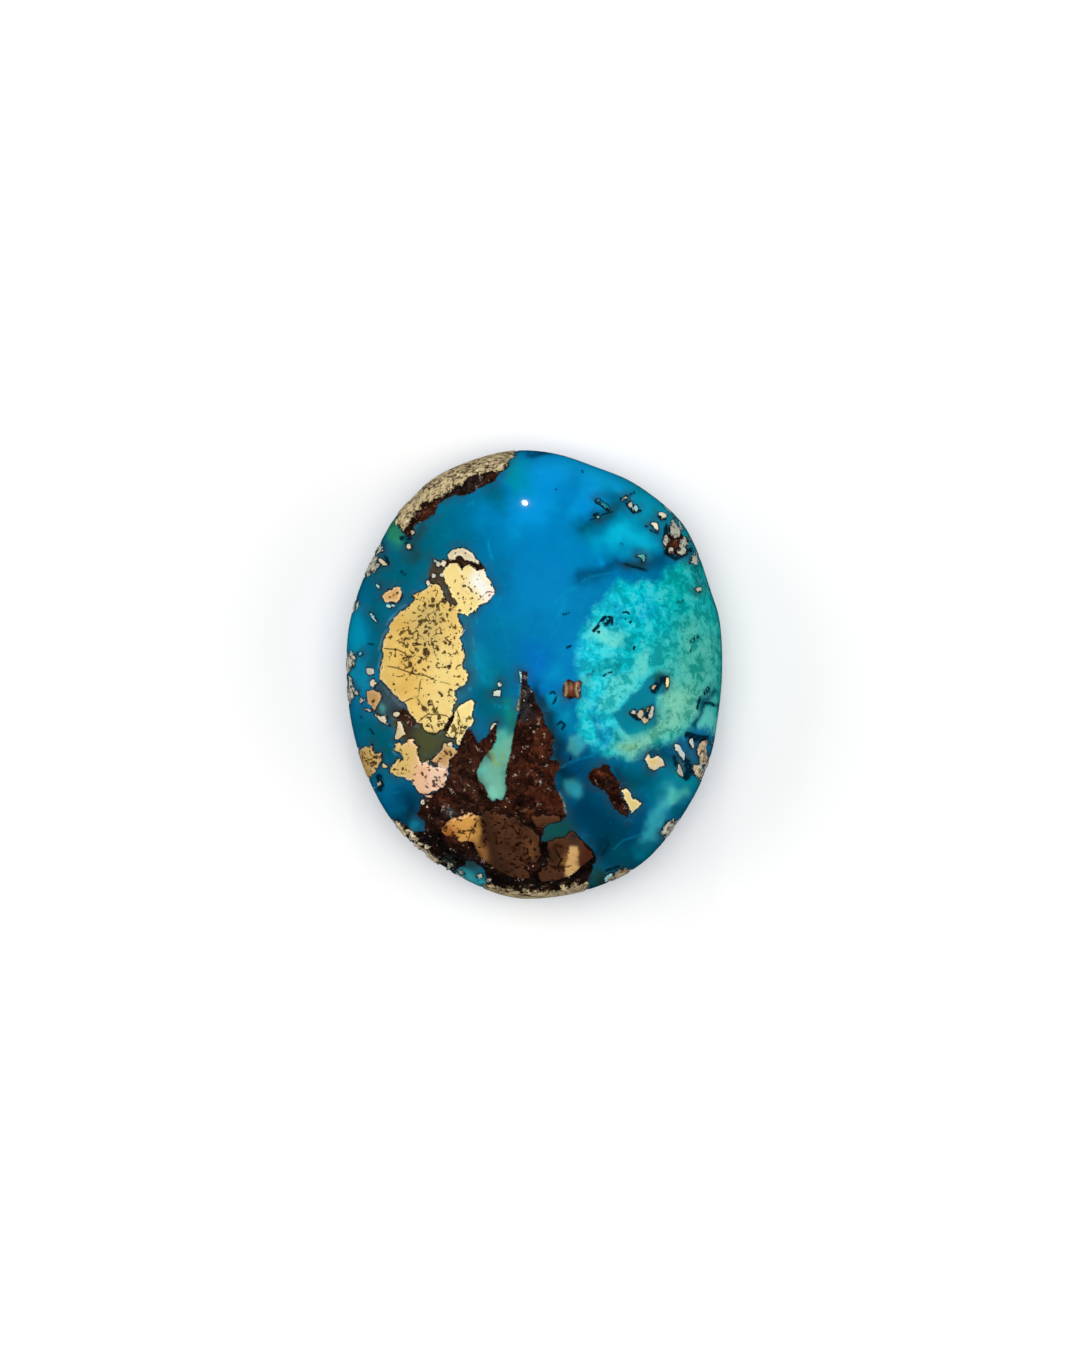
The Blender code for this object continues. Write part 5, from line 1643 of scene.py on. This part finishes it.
def pyrite_look(graph: Graph, given: dict[str, bpy.types.NodeSocket]) -> dict[str, object]:
    """Brassy plates with etched curls, pits and cleavage lines."""
    place = given["Place"]
    tooth = graph.noise(place, 7.0, 3.0, 0.6)
    value = graph.math("MULTIPLY_ADD", graph.noise(place, 1.1, 3.0, 0.5), 0.22, 0.92)
    value = graph.math("MULTIPLY_ADD", tooth, 0.08, value)
    colour = graph.adjust(given["Tint"], value)
    lip = graph.math("MULTIPLY", graph.rise(given["Depth"], 0.15, 0.05),
                     graph.rise(graph.noise(place, 0.65, 2.0), 0.36, 0.50))
    lip = graph.math("MULTIPLY", lip, graph.rise(given["Tint"], 0.22, 0.45))
    colour = graph.mix(graph.math("MULTIPLY", lip, 0.55), colour,
                       graph.adjust(given["Tint"], 1.25, 0.504, 0.72))
    etch = graph.adjust(given["Tint"], 0.10, 0.484, 1.5)

    curl = graph.math("ABSOLUTE", graph.math("SUBTRACT", graph.noise(place, 2.9, 1.0, 0.5, 0.6), 0.5))
    bare = graph.math("MULTIPLY_ADD", given["Pitting"], -0.30, 0.78)
    etched = graph.rise(graph.noise(place, 3.6, 1.0, 0.5), bare, graph.math("ADD", bare, 0.04))
    curls = graph.math("MULTIPLY", graph.rise(curl, 0.075, 0.058), etched)
    colour = graph.mix(graph.math("MULTIPLY", curls, 0.92), colour, etch)
    dusty = graph.math("MULTIPLY", graph.rise(graph.noise(place, 6.0, 2.0, 0.6), 0.52, 0.62),
                       graph.rise(given["Pitting"], 0.45, 1.0))
    colour = graph.mix(graph.math("MULTIPLY", dusty, 0.30), colour,
                       graph.adjust(given["Tint"], 0.60, 0.505, 0.80))
    moved = graph.add("ShaderNodeVectorMath", operation="MULTIPLY_ADD")
    warp = graph.add("ShaderNodeTexNoise")
    graph.feed(warp.inputs["Vector"], place)
    warp.inputs["Scale"].default_value = 3.0
    graph.feed(moved.inputs[0], warp.outputs["Color"])
    moved.inputs[1].default_value = (0.3, 0.3, 0.3)
    graph.feed(moved.inputs[2], place)
    cells = graph.cells(moved.outputs[0], 3.6)
    cells.distance = "CHEBYCHEV"
    size = graph.math("MULTIPLY_ADD", given["Pitting"], 0.24, -0.24)
    size = graph.math("MULTIPLY_ADD", cells.outputs["Color"], 0.38, size)
    spots = graph.rise(graph.math("SUBTRACT", size, cells.outputs["Distance"]), -0.02, 0.01)
    crooked = graph.math("SUBTRACT", graph.noise(place, 5.0, 2.0), 0.5)
    pit = graph.math("MULTIPLY_ADD", crooked, 0.22, given["Pit Depth"])
    hollow = graph.math("MAXIMUM", graph.rise(pit, -0.01, 0.012), spots)
    beside = graph.math("ABSOLUTE", given["Crack Side"])
    crack = graph.math("MULTIPLY", graph.rise(beside, 0.042, 0.020),
                       graph.rise(given["Cleavage"], 0.2, 0.5))
    crack = graph.math("MULTIPLY", crack, graph.rise(graph.noise(place, 1.9, 2.0), 0.34, 0.50))
    colour = graph.mix(graph.math("MULTIPLY", crack, 0.8), colour, etch)
    colour = graph.mix(graph.math("MULTIPLY", hollow, 0.93), colour, Tint.PIT.rgba)
    shine = graph.math("MULTIPLY_ADD", hollow, -0.22, 0.28)
    rough = graph.math("MULTIPLY_ADD", tooth, 0.12, 0.32)
    height = graph.math("MULTIPLY", graph.math("MAXIMUM", hollow, crack), -0.03)
    height = graph.math("MULTIPLY_ADD", tooth, 0.004, height)
    return {"Colour": colour, "Roughness": rough, "Metallic": shine, "Height": height}


def crust_look(graph: Graph, given: dict[str, bpy.types.NodeSocket]) -> dict[str, object]:
    """Pale weathered crust of grains with dark joints, mottled and full of brown hollows."""
    place = given["Place"]
    mottle = graph.noise(place, 2.4, 5.0, 0.68, 0.5)
    grit = graph.noise(place, 5.5, 3.0, 0.65, 0.4)
    colour = graph.adjust(given["Tint"], graph.math("MULTIPLY_ADD", mottle, 1.3, 0.30))
    stain = graph.math("MULTIPLY", graph.rise(mottle, 0.48, 0.38), 0.7)
    colour = graph.mix(stain, colour, Tint.BRONZE.rgba)
    gleam = graph.math("MULTIPLY", graph.rise(grit, 0.56, 0.68), 0.5)
    colour = graph.mix(gleam, colour, Tint.BRIGHT.rgba)
    hole = graph.rise(graph.math("MULTIPLY_ADD", mottle, 0.3, grit), 0.59, 0.54)
    colour = graph.mix(graph.math("MULTIPLY", hole, 0.85), colour, Tint.DARK_BRONZE.rgba)
    shaken = graph.add("ShaderNodeVectorMath", operation="MULTIPLY_ADD")
    shake = graph.add("ShaderNodeTexNoise")
    graph.feed(shake.inputs["Vector"], place)
    shake.inputs["Scale"].default_value = 1.4
    graph.feed(shaken.inputs[0], shake.outputs["Color"])
    shaken.inputs[1].default_value = (1.2, 1.2, 1.2)
    graph.feed(shaken.inputs[2], place)
    between = graph.cells(shaken.outputs[0], 1.5, "DISTANCE_TO_EDGE").outputs["Distance"]
    joint = graph.math("MULTIPLY", graph.rise(between, 0.09, 0.03), graph.rise(mottle, 0.60, 0.44))
    colour = graph.mix(graph.math("MULTIPLY", joint, 0.85), colour, Tint.DARK_BRONZE.rgba)
    rough = graph.math("MULTIPLY_ADD", grit, 0.3, 0.28)
    height = graph.math("MULTIPLY_ADD", hole, -0.05, graph.math("MULTIPLY", mottle, 0.05))
    return {"Colour": colour, "Roughness": rough, "Height": height}


def matrix_look(graph: Graph, given: dict[str, bpy.types.NodeSocket]) -> dict[str, object]:
    """Brown matrix: glossy knobs painted lighter on top, painted shade in the crevices, and small painted
    glints.
    """
    place = given["Place"]
    lump = graph.noise(place, 1.3, 5.0, 0.62, 0.9)
    swirl = graph.noise(place, 2.4, 4.0, 0.60, 1.6)
    grit = graph.noise(place, 6.0, 4.0, 0.65)
    # Painted light: the knobs are lighter the higher they stand; the swirl adds tone.
    shade = graph.math("MULTIPLY_ADD", graph.rise(lump, 0.36, 0.64), 1.30, 0.26)
    shade = graph.math("MULTIPLY_ADD", graph.rise(swirl, 0.50, 0.64), 0.80, shade)
    colour = graph.adjust(given["Tint"], shade)
    red = graph.math("MULTIPLY", graph.rise(graph.noise(place, 0.9, 3.0, 0.6, 0.8), 0.52, 0.62), 0.30)
    colour = graph.mix(red, colour, graph.adjust(given["Tint"], 1.9, 0.497, 1.1))
    fold = graph.math("ABSOLUTE", graph.math("SUBTRACT", swirl, 0.5))
    # Painted shade: near black in the narrow folds where the knobs are low.
    crevice = graph.math("MULTIPLY", graph.rise(fold, 0.040, 0.008), graph.rise(lump, 0.60, 0.42))
    colour = graph.mix(graph.math("MULTIPLY", crevice, 0.85), colour, Tint.PITCH.rgba)
    colour = graph.mix(graph.rise(grit, 0.40, 0.32), colour, Tint.PITCH.rgba)
    # Painted glints: thin bright arcs and small sparks on the knobs.
    edge = graph.math("ABSOLUTE", graph.math("SUBTRACT", graph.noise(place, 3.1, 2.0, 0.5, 1.4), 0.54))
    arc = graph.math("MULTIPLY", graph.rise(edge, 0.040, 0.018),
                     graph.rise(graph.noise(place, 2.6, 1.0, 0.4), 0.62, 0.67))
    colour = graph.mix(graph.math("MULTIPLY", arc, 0.65), colour, Tint.GLINT.rgba)
    spark = graph.rise(graph.noise(place, 4.4, 1.0, 0.4), 0.765, 0.795)
    colour = graph.mix(graph.math("MULTIPLY", spark, 0.85), colour, Tint.BLUSH.rgba)
    colour = graph.mix(graph.math("MULTIPLY", given["Light Mark"], 0.8), colour, Tint.CREAM.rgba)
    rough = graph.math("MULTIPLY_ADD", grit, 0.2, 0.16)
    height = graph.math("MULTIPLY_ADD", graph.rise(fold, 0.0, 0.12), 0.05,
                        graph.math("MULTIPLY", lump, 0.16))
    height = graph.math("MULTIPLY_ADD", grit, 0.04, height)
    return {"Colour": colour, "Roughness": rough, "Height": height}


@dataclass(frozen=True)
class StoneFinish:
    """The polished stone's material, with every inclusion in it."""

    name: str = "polished_turquoise"
    ior: float = 1.5
    plate_raggedness: float = 0.10
    plate_chips: float = 0.13
    matrix_chips: float = 0.10
    matrix_raggedness: float = 0.07
    pale_raggedness: float = 0.42
    wall_sway: float = 2.0
    pale_sway: float = 2.2
    wall_top: float = 4.7
    wall_foot: float = 2.8

    def groups(self) -> dict[str, bpy.types.NodeTree]:
        """Build the effects that the material is made of."""
        looks = (Socket("Colour", COLOUR), Socket("Roughness"), Socket("Height"))
        place, tint = Socket("Place", VECTOR), Socket("Tint", COLOUR)
        edge = make_group(
            "ragged_edge",
            (place, Socket("Depth"), Socket("Raggedness", value=0.05),
             Socket("Chipping"), Socket("Grain", value=6.0), Socket("Softness", value=0.02),
             Socket("Sway")),
            (Socket("Mask"), Socket("Depth")), ragged_edge)
        turquoise = make_group(
            "turquoise_look",
            (place, Socket("Host Tint", COLOUR), Socket("Pale Tint", COLOUR),
             Socket("Pale Mask"), Socket("Calm"), Socket("Light Mark"), Socket("Dark Mark"),
             Socket("Smoke")),
            looks, turquoise_look)
        pyrite = make_group(
            "pyrite_look",
            (place, tint, Socket("Depth"), Socket("Pit Depth"), Socket("Cleavage"),
             Socket("Crack Side"), Socket("Pitting", value=0.5)),
            looks + (Socket("Metallic"),), pyrite_look)
        crust = make_group("crust_look", (place, tint), looks, crust_look)
        matrix = make_group("matrix_look", (place, tint, Socket("Light Mark")), looks, matrix_look)
        return {"edge": edge, "turquoise": turquoise, "pyrite": pyrite, "crust": crust,
                "matrix": matrix}

    def material(self) -> bpy.types.Material:
        """Build the material.

        Returns:
            The finished material.
        """
        made = bpy.data.materials.new(self.name)
        made.use_nodes = True
        graph = Graph(made.node_tree)
        shader = made.node_tree.nodes["Principled BSDF"]
        parts = self.groups()
        scaled = graph.add("ShaderNodeVectorMath", operation="SCALE")
        graph.feed(scaled.inputs[0], graph.add("ShaderNodeTexCoord").outputs["Object"])
        scaled.inputs["Scale"].default_value = 1.0 / MM
        place = scaled.outputs[0]
        read = graph.attribute
        apart = graph.add("ShaderNodeSeparateXYZ")
        graph.feed(apart.inputs[0], place)
        sway = graph.math("MULTIPLY", graph.rise(apart.outputs["Z"], self.wall_top, self.wall_foot),
                          self.wall_sway)
        metal = graph.group(parts["edge"], Place=place, Depth=read("metal_mm"), Sway=sway,
                            Raggedness=self.plate_raggedness, Grain=3.0, Softness=0.02,
                            Chipping=graph.math("MULTIPLY", read("breadth_share"), self.plate_chips))
        brown = graph.group(parts["edge"], Place=place, Depth=read("matrix_mm"), Sway=sway,
                            Raggedness=self.matrix_raggedness, Grain=3.5, Softness=0.03,
                            Chipping=self.matrix_chips)
        pale = graph.group(parts["edge"], Place=place, Depth=read("pale_mm"),
                           Raggedness=self.pale_raggedness, Grain=1.2, Softness=0.30,
                           Sway=graph.math("MULTIPLY", sway, self.pale_sway))
        nearest = graph.math("MAXIMUM", read("metal_mm"), read("matrix_mm"))
        patchy = graph.rise(graph.noise(place, 0.9, 3.0), 0.34, 0.66)
        smoke = graph.math("MULTIPLY", graph.rise(nearest, -0.60, 0.0), patchy)
        smoke = graph.math("MULTIPLY", smoke, 0.55)
        host = graph.group(
            parts["turquoise"], Place=place, Host_Tint=read("host_tint", True),
            Pale_Tint=read("pale_tint", True), Pale_Mask=pale.outputs["Mask"],
            Calm=read("calm_share"), Light_Mark=read("light_mark"),
            Dark_Mark=read("dark_mark"), Smoke=smoke)
        plates = graph.group(
            parts["pyrite"], Place=place, Tint=read("metal_tint", True),
            Depth=metal.outputs["Depth"], Pit_Depth=read("pit_mm"),
            Cleavage=read("cleavage_mark"), Crack_Side=read("cleavage_side_mm"),
            Pitting=read("pitted_share"))
        crust = graph.group(parts["crust"], Place=place, Tint=read("metal_tint", True))
        lumps = graph.group(parts["matrix"], Place=place, Tint=read("matrix_tint", True),
                            Light_Mark=read("light_mark"))
        weathered = read("crust_share")
        line = graph.rise(metal.outputs["Depth"], -0.11, -0.03)
        line = graph.math("MULTIPLY", line, graph.rise(graph.noise(place, 1.7, 2.0), 0.30, 0.48))

        def layered(name: str, mix: Callable[..., bpy.types.NodeSocket]) -> bpy.types.NodeSocket:
            """Lay matrix over turquoise, and plates and crust over both."""
            under = mix(brown.outputs["Mask"], host.outputs[name], lumps.outputs[name])
            if name == "Colour":
                under = mix(graph.math("MULTIPLY", line, 0.9), under, Tint.PITCH.rgba)
            over = mix(weathered, plates.outputs[name], crust.outputs[name])
            return mix(metal.outputs["Mask"], under, over)

        graph.feed(shader.inputs["Base Color"], layered("Colour", graph.mix))
        graph.feed(shader.inputs["Roughness"], layered("Roughness", graph.blend))
        shine = graph.math("MULTIPLY", metal.outputs["Mask"], plates.outputs["Metallic"])
        shine = graph.math("MULTIPLY", shine, graph.math("SUBTRACT", 1.0, weathered))
        graph.feed(shader.inputs["Metallic"], shine)
        shader.inputs["IOR"].default_value = self.ior
        bump = graph.add("ShaderNodeBump")
        bump.inputs["Distance"].default_value = MM
        graph.feed(bump.inputs["Height"], layered("Height", graph.blend))
        graph.feed(shader.inputs["Normal"], bump.outputs["Normal"])
        return made


@dataclass(frozen=True)
class View:
    """Where the stone is looked at from, and how the picture frames it."""

    eye_height: float = 160.0
    lens: float = 85.0
    sensor: float = 36.0
    eye: Point = (0.25, -0.075)

    def place_camera(self, form: StoneForm) -> bpy.types.Object:
        """Put the camera straight above the stone.

        Args:
            form: The stone's form, for the height of its girdle.

        Returns:
            The camera.
        """
        data = bpy.data.cameras.new("camera")
        data.lens = self.lens
        data.sensor_width = self.sensor
        data.clip_start = 0.005
        camera = bpy.data.objects.new("camera", data)
        middle = form.reading_middle()
        spot = (self.eye[0] - middle[0], self.eye[1] - middle[1], form.girdle + self.eye_height)
        camera.location = Vector(spot) * MM
        bpy.context.scene.collection.objects.link(camera)
        bpy.context.scene.camera = camera
        return camera


@dataclass(frozen=True)
class Stone:
    """The whole stone as one closed piece."""

    form: StoneForm
    relief: Relief
    finish: StoneFinish
    view: View

    def fields(self, surface: Surface) -> Fields:
        """Work out the marks all over the stone, face and back.

        Args:
            surface: The stone's surface.

        Returns:
            The marks at each point.
        """
        u, v = surface.plan.T
        x, y = surface.places[:, 0], surface.places[:, 1]
        face, back = FRONT.read(u, v), BACK.read(x, y)
        turn = ease(surface.under, 0.45, 1.0)
        mixed = {}
        for name, front_values in face.items():
            share = turn[:, None] if front_values.ndim == 2 else turn
            mixed[name] = front_values * (1.0 - share) + back[name] * share
        return mixed

    def mesh(self) -> bpy.types.Mesh:
        """Build the stone's mesh with its relief and its marks."""
        surface = self.form.surface(self.view.eye_height, self.view.eye)
        fields = self.fields(surface)
        mesh = bpy.data.meshes.new("turquoise_stone_surface")
        mesh.from_pydata((surface.places * MM).tolist(), [], surface.faces)
        mesh.shade_smooth()
        normals = np.zeros(len(surface.places) * 3, np.float32)
        mesh.vertex_normals.foreach_get("vector", normals)
        normals = normals.reshape(-1, 3)
        lift = self.relief.heights(surface.places, fields)
        lift *= 1.0 - ease(surface.under, 0.90, 1.0)
        places = surface.places + normals * lift[:, None]
        places[:, 2] = np.clip(places[:, 2], 0.0, self.form.height)
        mesh.vertices.foreach_set("co", (places * MM).astype(np.float32).ravel())
        for name, values in fields.items():
            self.write_field(mesh, name, values)
        self.write_sheet(mesh, surface)
        mesh.update()
        return mesh

    def write_field(self, mesh: bpy.types.Mesh, name: str, values: np.ndarray) -> None:
        """Store one mark on the mesh, as a number or a colour a point."""
        if values.ndim == 2:
            layer = mesh.attributes.new(name, "FLOAT_COLOR", "POINT")
            full = np.column_stack((values, np.ones(len(values))))
            layer.data.foreach_set("color", full.astype(np.float32).ravel())
        else:
            layer = mesh.attributes.new(name, "FLOAT", "POINT")
            layer.data.foreach_set("value", values.astype(np.float32))

    def write_sheet(self, mesh: bpy.types.Mesh, surface: Surface) -> None:
        """Unroll the stone on a flat sheet: the face in one disc and the back in another."""
        face_run = np.hypot(surface.sheet[:, 0], surface.sheet[:, 1]).max()
        back_run = (self.form.length + self.form.width) / 4 * self.form.back_share
        scale = 0.98 / ((face_run + back_run) * (1.0 + math.sqrt(0.5)))
        low, high = 0.01 + face_run * scale, 0.99 - back_run * scale
        layer = mesh.uv_layers.new(name="OFBake")
        corners = np.zeros(len(mesh.loops), np.int32)
        mesh.loops.foreach_get("vertex_index", corners)
        on_back = surface.sheet[corners, 2] > 0.5
        triangle_back = on_back.reshape(-1, 3).any(1).repeat(3)
        across = surface.sheet[corners, :2]
        flat = surface.places[corners, :2] * np.array((-1.0, 1.0))
        spots = np.where(triangle_back[:, None], flat * scale + high, across * scale + low)
        layer.data.foreach_set("uv", spots.astype(np.float32).ravel())

    def build(self) -> bpy.types.Object:
        """Make the stone and put it in the place of its plain solid."""
        piece = bpy.data.objects.new("turquoise_stone_surface", self.mesh())
        piece.data.materials.append(self.finish.material())
        bpy.context.scene.collection.objects.link(piece)
        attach(piece, BODY)
        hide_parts(NODE)
        return piece


@dataclass(frozen=True)
class SoftLight:
    """A rectangular light: where it stands, its size in metres and its power."""

    name: str
    place: tuple[float, float, float]
    size: Point
    power: float
    colour: tuple[float, float, float] = (1.0, 1.0, 1.0)
    mirrored: bool = False

    def build(self) -> bpy.types.Object:
        """Make the light, turned to the stone."""
        data = bpy.data.lights.new(self.name, "AREA")
        data.shape = "RECTANGLE"
        data.size, data.size_y = self.size
        data.energy = self.power
        data.color = self.colour
        lamp = bpy.data.objects.new(self.name, data)
        lamp.location = self.place
        lamp.rotation_euler = (-Vector(self.place)).to_track_quat("-Z", "Y").to_euler()
        lamp.visible_glossy = self.mirrored
        bpy.context.scene.collection.objects.link(lamp)
        return lamp


@dataclass(frozen=True)
class Studio:
    """Pale floor, soft lights and a dim room."""

    floor_size: float = 3.0
    floor_white: float = 0.90
    room: float = 0.11
    lights: tuple[SoftLight, ...] = (
        SoftLight("wash_above", (0.0, 0.05, 0.75), (0.9, 0.9), 6.0),
        SoftLight("wash_left", (-0.6, 0.1, 0.35), (0.6, 0.4), 1.8),
        SoftLight("wash_right", (0.6, -0.1, 0.35), (0.6, 0.4), 1.8),
        SoftLight("card_left", (-0.32, 0.0, 0.20), (0.16, 0.12), 0.06, (1.0, 0.90, 0.76), True),
        SoftLight("spark", (-0.01, 0.27, 0.14), (0.010, 0.013), 0.06, (1.0, 1.0, 1.0), True),
    )

    def build(self) -> None:
        """Make the floor, the room and the lights."""
        half = self.floor_size / 2
        mesh = bpy.data.meshes.new("pale_floor")
        corners = [(-half, -half, 0.0), (half, -half, 0.0), (half, half, 0.0), (-half, half, 0.0)]
        mesh.from_pydata(corners, [], [(0, 1, 2, 3)])
        material = bpy.data.materials.new("pale_floor")
        material.use_nodes = True
        shader = material.node_tree.nodes["Principled BSDF"]
        shader.inputs["Base Color"].default_value = (self.floor_white,) * 3 + (1.0,)
        shader.inputs["Roughness"].default_value = 0.9
        mesh.materials.append(material)
        floor = bpy.data.objects.new("pale_floor", mesh)
        floor.visible_glossy = False
        bpy.context.scene.collection.objects.link(floor)
        world = bpy.data.worlds.new("dim_room")
        world.use_nodes = True
        background = world.node_tree.nodes["Background"]
        background.inputs["Color"].default_value = (1.0, 1.0, 1.0, 1.0)
        background.inputs["Strength"].default_value = self.room
        world.cycles_visibility.glossy = False
        bpy.context.scene.world = world
        for light in self.lights:
            light.build()


def main() -> None:
    """Build the stone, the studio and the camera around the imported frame."""
    logging.basicConfig(level=logging.INFO, format="%(message)s")
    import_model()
    view = View()
    stone = Stone(StoneForm.of_box(*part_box(NODE)), Relief(), StoneFinish(), view)
    piece = stone.build()
    log.info("%s: %d triangles", piece.name, len(piece.data.polygons))
    view.place_camera(stone.form)
    Studio().build()
    log.info("floor, lights and camera")
    bpy.context.scene.view_settings.view_transform = "Standard"


if __name__ == "__main__":
    main()
